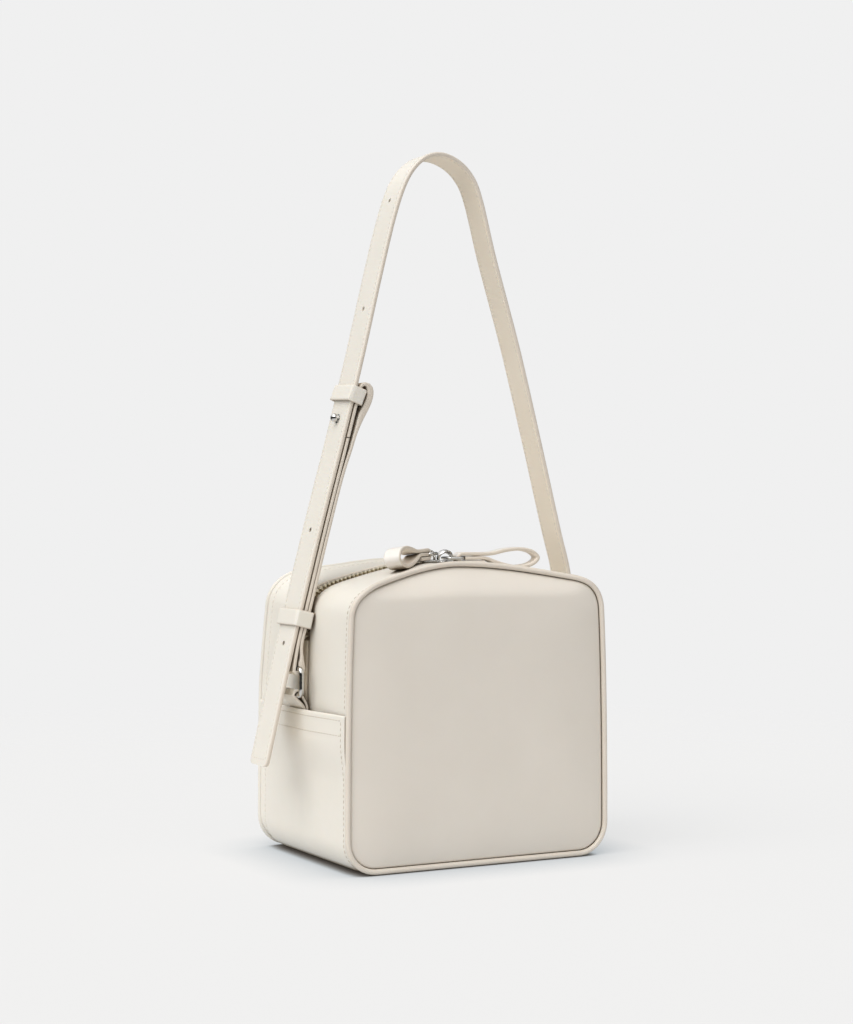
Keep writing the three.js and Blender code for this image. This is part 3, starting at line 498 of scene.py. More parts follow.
class Nodes(Tree):
    """Node tree of a new material, with short calls for what the leather and metal need."""

    def __init__(self, name):
        self.material = bpy.data.materials.new(name)
        self.material.use_nodes = True
        super().__init__(self.material.node_tree)
        self.shader = self.tree.nodes["Principled BSDF"]
        self.place = self.add("ShaderNodeTexCoord").outputs["Object"]

    def feed(self, key, output):
        self.join(output, self.shader.inputs[key])

    def hold(self, key, value):
        self.shader.inputs[key].default_value = value

    def noise(self, size_mm, detail=3, roughness=0.55):
        made = self.add("ShaderNodeTexNoise", Scale=1 / (size_mm * MM), Detail=detail, Roughness=roughness)
        self.join(self.place, made.inputs["Vector"])
        return made.outputs["Fac"]

    def cells(self, size_mm, feature="F1"):
        made = self.add("ShaderNodeTexVoronoi", feature=feature, Scale=1 / (size_mm * MM))
        self.join(self.place, made.inputs["Vector"])
        return made.outputs["Distance"]

    def closeness(self, reach_mm):
        """1 in the open, towards 0 where other surfaces stand close around."""
        made = self.add("ShaderNodeAmbientOcclusion", Distance=reach_mm * MM, samples=8)
        return made.outputs["AO"]

    def blend(self, factor, first, second):
        made = self.add("ShaderNodeMix", data_type="RGBA")
        self.join(factor, made.inputs["Factor"])
        for key, colour in zip((6, 7), (first, second)):
            if isinstance(colour, tuple):
                made.inputs[key].default_value = (*colour, 1)
            else:
                self.join(colour, made.inputs[key])
        return made.outputs[2]

    def bump(self, height, distance_mm, strength, onto=None):
        made = self.add("ShaderNodeBump", Strength=strength, Distance=distance_mm * MM)
        self.join(height, made.inputs["Height"])
        if onto is not None:
            self.join(onto, made.inputs["Normal"])
        return made.outputs["Normal"]


def leather(name, colour, shade, roughness=0.47, grain=0.25, crevice_shade=True):
    """Smooth satin leather: cloudy colour, fine pores, a soft uneven surface, and painted shade where other
    parts stand close unless that is turned off.
    """
    n = Nodes(name)
    clouds = n.span(n.noise(38, 4), 0.3, 0.7, 0, 1)
    base = n.blend(clouds, colour, shade)
    if crevice_shade:
        # Painted shade: darker where other surfaces stand close round it
        base = n.blend(n.span(n.closeness(CREVICE_SHADE_REACH), 0.12, 0.62, 0, 1), CREVICE_SHADE, base)
    n.feed("Base Color", base)
    n.feed("Roughness", n.span(n.noise(9, 4), 0.3, 0.7, roughness - 0.05, roughness + 0.06))
    pores = n.bump(n.cells(0.55), 0.06, grain)
    folds = n.bump(n.noise(1.6, 5, 0.6), 0.1, grain, pores)
    n.feed("Normal", n.bump(n.noise(14, 3), 0.6, 0.12, folds))
    n.hold("Specular IOR Level", 0.42)
    n.hold("Subsurface Weight", 0.06)
    n.hold("Subsurface Radius", (1, 0.6, 0.35))
    n.hold("Subsurface Scale", 1.5 * MM)
    return n.material


def edge_paint(name, colour, shade):
    """Painted cut edge: smooth, a little darker, with a fine uneven run."""
    n = Nodes(name)
    n.feed("Base Color", n.blend(n.noise(3, 3), colour, shade))
    n.feed("Normal", n.bump(n.noise(1.2, 3), 0.08, 0.35))
    n.feed("Roughness", n.span(n.noise(4, 2), 0.3, 0.7, 0.36, 0.5))
    return n.material


def thread(name, colour, shade):
    """Twisted sewing thread."""
    n = Nodes(name)
    n.feed("Base Color", n.blend(n.noise(0.7, 2), colour, shade))
    n.feed("Normal", n.bump(n.noise(0.22, 2), 0.05, 0.5))
    n.hold("Roughness", 0.62)
    return n.material


def woven(name, colour, shade):
    """Woven tape: fine ribs in two directions."""
    n = Nodes(name)
    ribs = n.add("ShaderNodeTexWave", Scale=1 / (0.9 * MM) / 6.3, Distortion=0.6)
    n.join(n.place, ribs.inputs["Vector"])
    n.feed("Base Color", n.blend(ribs.outputs["Fac"], colour, shade))
    n.feed("Normal", n.bump(ribs.outputs["Fac"], 0.1, 0.5))
    n.hold("Roughness", 0.85)
    return n.material


def metal(name, colour, shade, roughness, scratch=0.12):
    """Polished or dulled metal with faint marks."""
    n = Nodes(name)
    n.feed("Base Color", n.blend(n.noise(2.5, 4), colour, shade))
    n.feed("Roughness", n.span(n.noise(1.5, 5), 0.3, 0.7, roughness, roughness + 0.08))
    n.feed("Normal", n.bump(n.noise(0.8, 4), 0.03, scratch))
    n.hold("Metallic", 1)
    return n.material


CREAM = leather("cream_leather", (0.785, 0.745, 0.67), (0.76, 0.72, 0.64))
CREAM_PULL = leather("cream_pull_leather", (0.805, 0.77, 0.72), (0.785, 0.745, 0.69))
# Lighter, warmer cream for the pulls' inner faces: painted warm fill light in their shade
PULL_PAINTED_FILL = leather("pull_painted_fill_leather", (0.89, 0.825, 0.74), (0.87, 0.8, 0.71))
# Darker copy of the cream for the front and back panels: painted shade
CREAM_PANEL_PAINTED_SHADE = leather("cream_panel_painted_shade_leather", (0.735, 0.68, 0.605), (0.71, 0.655, 0.58), crevice_shade=False)
# Lighter, warmer cream with painted warm fill light on faces in shade: the straps' and keepers' inner faces
# and the back strip's turned edge by the zip; on the zip's folded tape end it is that leather's pale colour
CREAM_PALE_AND_PAINTED_FILL = leather("cream_pale_and_painted_fill_leather", (0.86, 0.775, 0.645), (0.83, 0.74, 0.61), 0.55)
EDGE = edge_paint("edge_paint", (0.73, 0.66, 0.57), (0.68, 0.605, 0.515))
PALE_PIPING = leather("pale_piping_leather", (0.785, 0.745, 0.67), (0.76, 0.72, 0.64), crevice_shade=False)
# Tan copy of the cream for the front piping: painted shade; the back piping keeps the plain cream
PIPING_PAINTED_SHADE = leather("piping_leather", (0.71, 0.645, 0.56), (0.68, 0.61, 0.525), 0.42, crevice_shade=False)
THREAD = thread("thread", (0.6, 0.535, 0.45), (0.48, 0.415, 0.33))
PALE_THREAD = thread("pale_thread", (0.74, 0.69, 0.61), (0.67, 0.615, 0.53))
TAPE = woven("zip_tape", (0.66, 0.57, 0.44), (0.52, 0.43, 0.32))
OLD_SILVER = metal("zip_metal", (0.84, 0.78, 0.62), (0.6, 0.53, 0.38), 0.25, 0.3)
SILVER = metal("polished_metal", (0.68, 0.67, 0.65), (0.54, 0.53, 0.51), 0.07)
# Outer faces, painted edges, and inner faces in the cream with painted warm fill light
STRAP_MATERIALS = [CREAM, EDGE, CREAM_PALE_AND_PAINTED_FILL]


# Meshes


def linked(name, data):
    made = bpy.data.objects.new(name, data)
    bpy.context.scene.collection.objects.link(made)
    return made


def piece(name, points, faces, materials, picks=None, replaces=(), slot=None, sharp=40):
    """A mesh of millimetre points, smooth except at sharp edges, riding on the bag."""
    mesh = bpy.data.meshes.new(name)
    mesh.from_pydata((np.asarray(points, float) * MM).tolist(), [], [list(f) for f in faces])
    for material in materials:
        mesh.materials.append(material)
    if picks is not None:
        mesh.polygons.foreach_set("material_index", picks)
    shaped = bmesh.new()
    shaped.from_mesh(mesh)
    bmesh.ops.recalc_face_normals(shaped, faces=shaped.faces)
    shaped.to_mesh(mesh)
    shaped.free()
    mesh.polygons.foreach_set("use_smooth", [True] * len(mesh.polygons))
    mesh.set_sharp_from_angle(angle=math.radians(sharp))
    made = linked(name, mesh)
    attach(made, "root")
    if replaces:
        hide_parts(*replaces)
    return made


def loft_faces(rows, columns, closed):
    """Quads over rows of rings, and end caps where the rows don't close."""
    faces = []
    for i in range(rows if closed else rows - 1):
        here, ahead = i * columns, (i + 1) % rows * columns
        for j in range(columns):
            k = (j + 1) % columns
            faces.append((here + j, here + k, ahead + k, ahead + j))
    if not closed:
        faces.append(tuple(range(columns)))
        faces.append(tuple(range((rows - 1) * columns, rows * columns)))
    return faces


def shifted(faces, first):
    """Faces of a mesh that is added after the first so many points."""
    return [tuple(first + k for k in face) for face in faces]


def loft(name, sections, materials, columns_picked=None, closed=False, **more):
    """Surface over sections, an array of rings of points."""
    sections = np.asarray(sections, float)
    rows, columns = sections.shape[:2]
    faces = loft_faces(rows, columns, closed)
    picks = None
    if columns_picked is not None:
        caps = [] if closed else [columns_picked[0]] * 2
        picks = [int(pick) for pick in [*columns_picked] * (rows if closed else rows - 1) + caps]
    return piece(name, sections.reshape(-1, 3), faces, materials, picks, **more)


def rounded_section(width, thickness, radius, groove=0.0):
    """Cross-section of a strap: place across it and depth from its outer face, and each side's material."""
    half = width / 2
    inner = half - radius
    flat = np.linspace(-inner, inner, 7)
    outer = np.column_stack([flat, np.zeros(7)])
    right = np.vstack([
        arc((inner, radius), radius, -90, 0, 4)[1:],
        [(half - groove, thickness * 0.6)] if groove else [(half, thickness / 2)],
        arc((inner, thickness - radius), radius, 0, 90, 4)[:-1],
    ])
    ring = np.vstack([outer, right, outer[::-1] + [0, thickness], right[::-1] * [-1, 1]])
    ahead = np.roll(ring, -1, axis=0)
    edge = np.minimum(np.abs(ring[:, 0]), np.abs(ahead[:, 0])) > half - radius * 0.8
    # Inner faces take the third material, which carries the painted warm fill light
    inside = (ring[:, 1] + ahead[:, 1]) / 2 > thickness * 0.8
    return ring, np.where(edge, 1, np.where(inside, 2, 0))


def along_route(route, across, depth, lean=0.0):
    """Points beside a route in the XZ plane: across is Y, depth is to the route's right."""
    right = rights(route)
    x = route[:, 0] + right[:, 0] * depth + lean
    z = route[:, 1] + right[:, 1] * depth
    return np.column_stack([x, np.full(len(x), float(across)), z])


def strip(
    name, route, thickness, width, lean=0.0, fill=0.0, tail_radius=0.0, matrix=None,
    materials=STRAP_MATERIALS, rounding=STRAP_ROUNDING, groove=STRAP_GROOVE, **more
):
    """A strap with rounded painted edges along a route, its outer face; fill thickens it outwards."""
    ring, picks = rounded_section(width, thickness, thickness * rounding, groove)
    sections = np.stack([
        along_route(route, across, depth - fill * (1 - depth / thickness), lean * (across / width + 0.5))
        for across, depth in ring
    ], axis=1)
    if tail_radius:
        missing = np.maximum(0, tail_radius - lengths_along(route))
        cut = tail_radius - np.sqrt(tail_radius**2 - missing**2)
        sections[:, :, 1] *= (1 - 2 * cut / width)[:, None]
    if matrix:
        sections = moved(sections, matrix)
    return loft(name, sections, materials, picks, slot="strap_leather", **more)


def wire(name, centres, normal, radius, sides, materials, **more):
    """Round wire or cord along a closed run of centres in a plane."""
    centres = np.asarray(centres, float)
    ahead = tangents(centres)
    across = unit(np.cross(ahead, normal))
    up = np.cross(across, ahead)
    angles = around(sides)
    sections = np.stack(
        [centres + radius * (math.cos(a) * across + math.sin(a) * up) for a in angles], axis=1
    )
    return loft(name, sections, materials, closed=True, **more)


def rounded_rectangle(half_width, half_height, radius, steps):
    x, y = half_width - radius, half_height - radius
    corners = [(x, y, 0), (-x, y, 90), (-x, -y, 180), (x, -y, 270)]
    return np.vstack([arc((a, b), radius, start, start + 90, steps) for a, b, start in corners])


# Stitches, all in one piece of thread


STITCHES = []


def stitch_row(points, normals, pale=False):
    """Notes a row of stitches that lie along points on a surface."""
    along = lengths_along(points)
    count = int(along[-1] // STITCH_PITCH)
    spare = (along[-1] - count * STITCH_PITCH) / 2
    middles = spare + STITCH_PITCH * (np.arange(count) + 0.5)
    ahead = sampled(middles + STITCH_LENGTH / 2, along, points)
    behind = sampled(middles - STITCH_LENGTH / 2, along, points)
    tangent = unit(ahead - behind)
    side = unit(np.cross(unit(sampled(middles, along, normals)), tangent))
    up = np.cross(tangent, side)
    STITCHES.append((sampled(middles, along, points), tangent, side, up, pale))


def stitch_template():
    """One stitch of unit length and radius: a short fat thread with sunk ends."""
    sides = 6
    rings = [(-0.5, 0.35, -0.8), (-0.34, 0.85, -0.15), (0, 1, 0.05), (0.34, 0.85, -0.15), (0.5, 0.35, -0.8)]
    angles = around(sides)
    points = [
        (t, radius * math.cos(a), radius * math.sin(a) + lift) for t, radius, lift in rings for a in angles
    ]
    return np.array(points), loft_faces(len(rings), sides, closed=False)


def outward_normals(places):
    return np.insert(places[:, 2:4], 1, 0, axis=1)


def add_stitches():
    template, template_faces = stitch_template()
    points, faces, picks = [], [], []
    for *frames, pale in STITCHES:
        for centre, tangent, side, up in zip(*frames):
            faces += shifted(template_faces, len(points) * len(template))
            along = template[:, :1] * STITCH_LENGTH * tangent
            across = template[:, 1:2] * THREAD_RADIUS * side
            points.append(centre + along + across + template[:, 2:] * THREAD_RADIUS * up)
            picks += [int(pale)] * len(template_faces)
    return piece("stitches", np.vstack(points), faces, [THREAD, PALE_THREAD], picks, sharp=80)


# Panels and piping


def rolled_share(down):
    """Share of the bow left at a share of the roll's height: an even slope, then a quick turn."""
    slope = 1 - smooth_step(ROLL_SAMPLES, ROLL_EVEN, 1)
    fallen = np.concatenate([[0], np.cumsum((slope[1:] + slope[:-1]) / 2)])
    return np.interp(down, ROLL_SAMPLES, 1 - fallen / fallen[-1])


def panel_rings(side, shares, inward):
    places = OUTLINE.at(np.arange(0, OUTLINE.length, 3))
    middle = (OUTLINE_BOTTOM + BODY_HEIGHT) / 2
    edge = on_outline(places, 0, -PANEL_EDGE_INSET)
    rings = []
    for share in shares:
        x = edge[:, 0] * share
        z = middle + (edge[:, 2] - middle) * share
        span = np.maximum(edge[:, 2] - ROLL_FROM, ROLL_LEAST)
        down = np.maximum(0, edge[:, 2] - z) / span
        recess = places[:, 4] * rolled_share(down)
        if side > 0:
            recess = recess * BACK_BOW_SHARE + back_lean(z)
        crown = PANEL_CROWN * (1 - share**4)
        inset = (1 - share) * HALF_WIDTH
        rim = RIM_PUFF * (1 - math.exp(-inset / RIM_REACH)) - (RIM_DROP if share == 1 else 0)
        y = side * (HALF_DEPTH + crown - recess - inward + rim - RIM_PUFF)
        rings.append(np.column_stack([x, y, z]))
    return rings


def add_panel(name, side):
    outer = panel_rings(side, PANEL_SHARES, 0)
    inner = panel_rings(side, PANEL_SHARES[::2], PANEL_THICKNESS)
    sections = raised_back(np.stack([*outer[::-1], *inner]))
    # The panels take the darker copy of the cream: painted shade
    loft(name + "_skin", sections, [CREAM_PANEL_PAINTED_SHADE], replaces=[name], slot="panel_leather", sharp=60)


def add_piping(name, side):
    places = OUTLINE.at(np.arange(0, OUTLINE.length, 2.5))
    centres = on_outline(places, 0, PIPING_STANDOFF)
    centres[:, 1] = side * (HALF_DEPTH - seam_recess(places, side))
    # The front cord takes the tan copy: painted shade
    leathers = [PIPING_PAINTED_SHADE if side < 0 else PALE_PIPING]
    wire(
        name + "_cord", raised_back(centres), (0, 1.0, 0), PIPING_RADIUS, 14, leathers,
        replaces=[name], slot="piping_leather",
    )


# Strips beside the zip, the tape and the teeth


def upper_places(height, spacing=3):
    start, end = OUTLINE.height_at(height, 1), OUTLINE.height_at(height, -1)
    return OUTLINE.at(np.linspace(start, end, round((end - start) / spacing)))


def seam_swell(inboard):
    """Rise of a gusset towards the piping, by the distance from the seam."""
    return SEAM_SWELL * (1 - smooth_step(inboard, 0.5, SEAM_SWELL_REACH))


def add_zip_strip(name, side):
    places = upper_places(LAP_BOTTOM)
    seam = seam_depth(places, side)
    zip_edge = ZIP_OPENING / 2
    low = GUSSET_STANDOFF - GUSSET_THICKNESS
    edge = FRONT_ZIP_EDGE if side < 0 else BACK_ZIP_EDGE
    section = [("zip", *point) for point in edge]
    section += [("share", share, GUSSET_STANDOFF) for share in (0.4, 0.6, 0.8)]
    section += [("seam", d, GUSSET_STANDOFF + seam_swell(d)) for d in (4, 3, 2.2, 1.4, 0.8)]
    section += [
        ("seam", 0.3, GUSSET_STANDOFF + SEAM_SWELL - 0.15),
        ("seam", 0, GUSSET_STANDOFF + SEAM_SWELL - 0.6), ("seam", 0, GUSSET_STANDOFF - 1.1),
        ("seam", 1, low), ("share", 0.5, low), ("zip", 0.6, low),
    ]
    depth_at = {
        "zip": lambda amount: zip_edge + amount,
        "seam": lambda amount: seam - amount,
        "share": lambda amount: zip_edge + (seam - zip_edge) * amount,
    }
    sections = swept(places, [(side * depth_at[kind](amount), up) for kind, amount, up in section])
    # On the back strip only, the turned edge by the zip takes the edge paint and the warm cream: painted tan
    # shade
    turned = [2, 2, 2, 1] if side > 0 else []
    picks = turned + [0] * (len(section) - len(turned))
    loft(
        name + "_leather", raised_back(sections), [CREAM, CREAM_PALE_AND_PAINTED_FILL, EDGE], picks,
        replaces=[name], slot="gusset_leather",
    )
    shown = upper_places(BAND_HEIGHT + 2, 1)
    row = on_outline(shown, 0, GUSSET_STANDOFF + seam_swell(SEAM_STITCH_INSET))
    row[:, 1] = side * (seam_depth(shown, side) - SEAM_STITCH_INSET)
    stitch_row(raised_back(row), outward_normals(shown), pale=side > 0)


def add_tape():
    places = upper_places(LAP_BOTTOM)
    face = GUSSET_STANDOFF - GUSSET_THICKNESS - GAP
    half = TAPE_WIDTH / 2
    section = [(-half, face), (half, face), (half, face - TAPE_THICKNESS), (-half, face - TAPE_THICKNESS)]
    loft("zip_tape_cloth", swept(places, section), [TAPE], replaces=["zip_tape"], slot="zip_tape")


def teeth_lift(x):
    """Rise of the teeth over the bar's crest, away from the sliders."""
    away = abs(x - SLIDER_MEETING_X)
    return TEETH_RISE * smooth_step(away, SLIDER_LENGTH, SLIDER_LENGTH + 4)


def tooth(place, side):
    """Rings of points of one tooth: an eight-sided block that narrows towards its top."""
    x, z, out_x, out_z = place[:4]
    along, outward = np.array([-out_z, 0, out_x]), np.array([out_x, 0, out_z])
    middle, half = (CHAIN_WIDTH / 2 - TOOTH_HEAD) / 2, (CHAIN_WIDTH / 2 + TOOTH_HEAD) / 2
    points = []
    for height, length, width in TOOTH_RINGS:
        lift = CHAIN_TOP + teeth_lift(x) - CHAIN_THICKNESS * (1 - height)
        for a, b in TOOTH_CORNERS:
            y = side * (middle + half * width * b)
            flat = np.array([x, 0, z]) + along * (TOOTH_PITCH * TOOTH_FILL * length) * a
            points.append(flat + outward * lift + np.array([0, y, 0]))
    return points


def tape_end(side):
    """Points and faces of the tape's folded end, with a groove between its two halves."""
    low, half, top = CHAIN_TOP - CHAIN_THICKNESS, CHAIN_WIDTH / 2, TAPE_END_TOP
    section = [
        (-half, low), (half, low), (half, top - 0.5), (half - 0.4, top - 0.1), (half - 1, top),
        (0.8, top), (0.5, top - 0.3), (0.2, top),
        (1 - half, top), (0.4 - half, top - 0.1), (-half, top - 0.5),
    ]
    begin, end = OUTLINE.height_at(LAP_BOTTOM, side), OUTLINE.height_at(TEETH_END, side) - side * 0.5
    places = OUTLINE.at(np.linspace(begin, end, 26))
    rings = swept(places, section)
    depths = np.array([y for y, _ in section])
    picks = np.where(depths + np.roll(depths, -1) < 1, 2, 1).tolist() * (len(places) - 1) + [1, 1]
    return list(rings.reshape(-1, 3)), loft_faces(len(places), len(section), False), picks


def add_teeth():
    start, end = OUTLINE.height_at(TEETH_END, 1), OUTLINE.height_at(TEETH_END, -1)
    points, faces = [], []
    for i, place in enumerate(OUTLINE.at(np.arange(start, end, TOOTH_PITCH))):
        faces += shifted(loft_faces(len(TOOTH_RINGS), len(TOOTH_CORNERS), False), len(points))
        points += tooth(place, 1 if i % 2 else -1)
    picks = [0] * len(faces)
    for side in (1, -1):
        more_points, more_faces, more_picks = tape_end(side)
        faces += shifted(more_faces, len(points))
        points += more_points
        picks += more_picks
    piece(
        "zip_teeth_row", points, faces, [OLD_SILVER, TAPE, CREAM_PALE_AND_PAINTED_FILL], picks,
        replaces=["zip_teeth"], slot="zip_teeth", sharp=30,
    )


# Base band


def lap_standoff(y):
    tab_side = TAB_WIDTH / 2 + GAP
    share = smooth_step(SEAM - abs(y), 0, SEAM - tab_side)
    return GUSSET_STANDOFF + GAP + (TAB_STANDOFF + 2 * TAB_THICKNESS) * share


def base_standoff(places, y):
    downward = np.maximum(0, -places[:, 3])
    inboard = smooth_step(SEAM - abs(y), 0, BASE_RAMP)
    return GUSSET_STANDOFF + (OUTLINE_BOTTOM - GUSSET_STANDOFF) * downward * inboard


def band_face(places, y):
    """Standoff of the band's outer face: it swells over the lap at the top."""
    lap = smooth_step(places[:, 1], LAP_BOTTOM - BAND_RAMP, LAP_BOTTOM)
    raised = lap_standoff(y) + BAND_EDGE_THICKNESS
    inboard = SEAM - abs(y)
    rounding = BAND_SIDE_ROUNDING * (1 - smooth_step(inboard, 0, 0.5))
    upright = 1 - np.maximum(0, -places[:, 3])
    swell = (seam_swell(inboard) - rounding) * upright
    return (base_standoff(places, y) + swell) * (1 - lap) + np.maximum(raised, GUSSET_STANDOFF + swell) * lap


def band_back(places, y):
    under = base_standoff(places, y) - BASE_THICKNESS
    lap = smooth_step(places[:, 1], LAP_BOTTOM - 2, LAP_BOTTOM)
    return under * (1 - lap) + lap_standoff(y) * lap


def add_base():
    top_right = OUTLINE.height_at(BAND_HEIGHT, 1)
    top_left = OUTLINE.height_at(BAND_HEIGHT, -1) - OUTLINE.length
    drop, share = np.transpose(BAND_ROUNDING)
    inner = np.linspace(top_left + 2, top_right - 2, BAND_ROWS_ALONG)
    places = OUTLINE.at(np.concatenate([top_left + drop, inner, top_right - drop[::-1]]))
    full = np.concatenate([share, np.ones(BAND_ROWS_ALONG), share[::-1]])
    rows = [SEAM - d for d in BAND_SEAM_ROWS] + BAND_FLAT_ROWS
    outer, back = [], []
    for y in [-y for y in rows] + [0] + rows[::-1]:
        face, under = band_face(places, y), band_back(places, y)
        centre, half = (face + under) / 2, (face - under) / 2 * full
        outer.append(on_outline(places, y, centre + half))
        back.append(on_outline(places, y, centre - half))
    sections = np.stack(outer + back[::-1], axis=1)
    loft("base_band", sections, [CREAM], replaces=["base_gusset"], slot="gusset_leather")
    stitch_base(top_left, top_right)


def stitch_base(top_left, top_right):
    places = OUTLINE.at(np.arange(top_left + 2, top_right - 2, 1.5))
    for side in (-1, 1):
        y = side * (SEAM - SEAM_STITCH_INSET)
        row = on_outline(places, y, band_face(places, y))
        stitch_row(row, outward_normals(places), pale=side > 0)
    for height in BAND_STITCH_HEIGHTS:
        for side in (-1, 1):
            place = OUTLINE.at([OUTLINE.height_at(height, side)])
            depths = np.linspace(-SEAM + 4, SEAM - 4, 90)
            row = np.vstack([on_outline(place, y, band_face(place, y)) for y in depths])
            stitch_row(row, outward_normals(place).repeat(len(row), axis=0))


# Rings and their tabs


def of_metal(node):
    return {"replaces": [node], "slot": "polished_metal"}


def add_ring(name, facing):
    outline = rounded_rectangle(RING_HALF_WIDTH, RING_BAR_OFFSET, RING_CORNER, 8)
    centres = np.column_stack([np.full(len(outline), facing * RING_X), outline[:, 0], outline[:, 1] + RING_Z])
    centres = resampled(centres, 0.9, closed=True)
    wire(name + "_wire", centres, (1.0, 0, 0), RING_RADIUS, 18, [SILVER], **of_metal(name))


def add_tab(name, facing):
    tuck = abs(OUTLINE.at([OUTLINE.height_at(BAND_HEIGHT, -1)])[0, 0])
    tuck += GUSSET_STANDOFF + TAB_STANDOFF + TAB_THICKNESS
    bar = (-RING_X, RING_Z - RING_BAR_OFFSET)
    radius = RING_RADIUS + GAP + TAB_THICKNESS
    outer, inner, low = -tuck - TAB_THICKNESS, -tuck + TAB_THICKNESS, BAND_HEIGHT - TAB_TUCK
    route = resampled(spline([
        (outer, low), (outer, BAND_HEIGHT - 3), (outer - 1.1, BAND_HEIGHT + 1.5),
        *arc(bar, radius, 195, -5, 10), (inner, BAND_HEIGHT + 1), (inner, low),
    ], 8), 0.8)
    route[:, 0] *= -facing
    route = route if facing < 0 else route[::-1]
    strip(name + "_loop", route, TAB_THICKNESS, TAB_WIDTH, replaces=[name])


# Strap


def strap_lean(route):
    across = smooth_step(route[:, 0], -RING_X / 3, RING_X / 3)
    top = RING_Z + RETURN_LENGTH
    up = smooth_step(route[:, 1], top - RETURN_LENGTH / 2, top + RETURN_LENGTH / 2)
    return STRAP_LEAN * across * up


def strap_route():
    hung = [(a * RING_X, RING_Z + u * STRAP_RISE) for a, u in STRAP_ROUTE]
    bar = (RING_X, RING_Z + RING_BAR_OFFSET)
    radius = RING_RADIUS + GAP + STRAP_THICKNESS
    last = hung[-1]
    outermost = bar[0] + radius
    approach = (last[0] + (outermost - last[0]) * RING_APPROACH, (last[1] + bar[1]) / 2)
    doubled = 2 * STRAP_THICKNESS + GAP
    lean = (outermost - last[0]) / (last[1] - bar[1])
    slant = math.hypot(1, lean)
    returned = [
        (approach[0] - doubled * slant, approach[1]),
        (outermost - RETURN_LENGTH * lean - doubled * slant, bar[1] + RETURN_LENGTH),
    ]
    return spline([*hung, approach, *arc(bar, radius, 0, -180, 6), *returned])


STRAP_LINE = strap_route()
STRAP_LENGTHS = lengths_along(STRAP_LINE)


def strap_place(distance):
    """Point on the strap's outer face at a distance from its tail, with the direction along it."""
    point, ahead = sampled([distance, distance + 1], STRAP_LENGTHS, STRAP_LINE)
    along = (ahead - point) / np.linalg.norm(ahead - point)
    return point, along, np.array([along[1], -along[0]])


def under_strap(distance, depth):
    point, _, inward = strap_place(distance)
    return tuple(point + inward * depth)


def turn(degrees, axis):
    return Matrix.Rotation(math.radians(degrees), 4, axis)


def onto_strap(distance, depth, tilt=0.0, skew=0.0):
    """Matrix in millimetres that sets a fitting on the strap, its own Z along the strap."""
    point, along, inward = strap_place(distance)
    seat = point + inward * depth
    lean = math.atan2(along[0], along[1]) + math.radians(tilt)
    place = Matrix.Translation((seat[0], 0, seat[1]))
    return place @ Matrix.Rotation(lean, 4, "Y") @ turn(skew, "X")


def moved(points, matrix):
    flat = np.reshape(points, (-1, 3))
    turned = np.array(matrix.to_3x3()) @ flat.T
    return (turned.T + np.array(matrix.translation)).reshape(np.shape(points))


def punch_holes(target, distances, depth, thickness):
    """Round holes through one strap layer."""
    for distance in distances:
        matrix = onto_strap(distance, depth + thickness / 2) @ turn(90, "Y")
        matrix.translation *= MM
        bpy.ops.mesh.primitive_cylinder_add(
            vertices=24, radius=HOLE_DIAMETER / 2 * MM, depth=(thickness + 1) * MM
        )
        punch = bpy.context.object
        punch.matrix_world = matrix
        modifier = target.modifiers.new("hole", "BOOLEAN")
        modifier.operation = "DIFFERENCE"
        modifier.solver = "EXACT"
        modifier.object = punch
        bpy.context.view_layer.objects.active = target
        bpy.ops.object.modifier_apply(modifier=modifier.name)
        bpy.data.objects.remove(punch)
    target.data.set_sharp_from_angle(angle=math.radians(40))


def stitch_strap(edge):
    """Rows along both edges, on both faces, and across the tail."""
    end = STRAP_LENGTHS[-1] - RING_FOLD - 2 * RETURN_LENGTH
    route = sampled(np.arange(TAIL_ROWS[-1], end, 1.0), STRAP_LENGTHS, STRAP_LINE)
    inward = np.insert(rights(route), 1, 0, axis=1)
    for across in (-edge, edge):
        lean = strap_lean(route) * (across / STRAP_WIDTH + 0.5)
        for sign, depth in ((-1, 0), (1, STRAP_SHOWN_THICKNESS)):
            stitch_row(along_route(route, across, depth, lean), sign * inward, pale=True)
    tail, _, inward = strap_place(TAIL_ROWS[-1])
    row = np.column_stack([np.full(20, tail[0]), np.linspace(-edge, edge, 20), np.full(20, tail[1])])
    stitch_row(row, np.tile([-inward[0], 0, -inward[1]], (20, 1)), pale=True)


def add_strap():
    corner = sampled(TAIL_ROWS, STRAP_LENGTHS, STRAP_LINE)
    ahead = (corner[1] - corner[0]) / TAIL_ROWS[1]
    corner[:4] -= ahead * TAIL_EXTRA * np.array([1, 0.9, 0.75, 0.5])[:, None]
    route = np.vstack([corner, resampled(STRAP_LINE, 2)[2:]])
    made = strip(
        "strap_leather", route, STRAP_SHOWN_THICKNESS, STRAP_WIDTH, strap_lean(route),
        tail_radius=TAIL_RADIUS, replaces=["strap"],
    )
    holes = [FIRST_HOLE + i * HOLE_PITCH for i in range(HOLE_COUNT)]
    punch_holes(made, holes, 0, STRAP_SHOWN_THICKNESS)
    stitch_strap(STRAP_WIDTH / 2 - STRAP_STITCH_INSET)


# Short strap, keepers and stud


SHORT_OUTER_FACE = STRAP_THICKNESS + GAP
SHORT_LAYER_STEP = SHORT_THICKNESS + GAP
STUD_AT = FIRST_HOLE + STUD_HOLE * HOLE_PITCH
JOINT_AT = STUD_AT - JOINT_BELOW_STUD


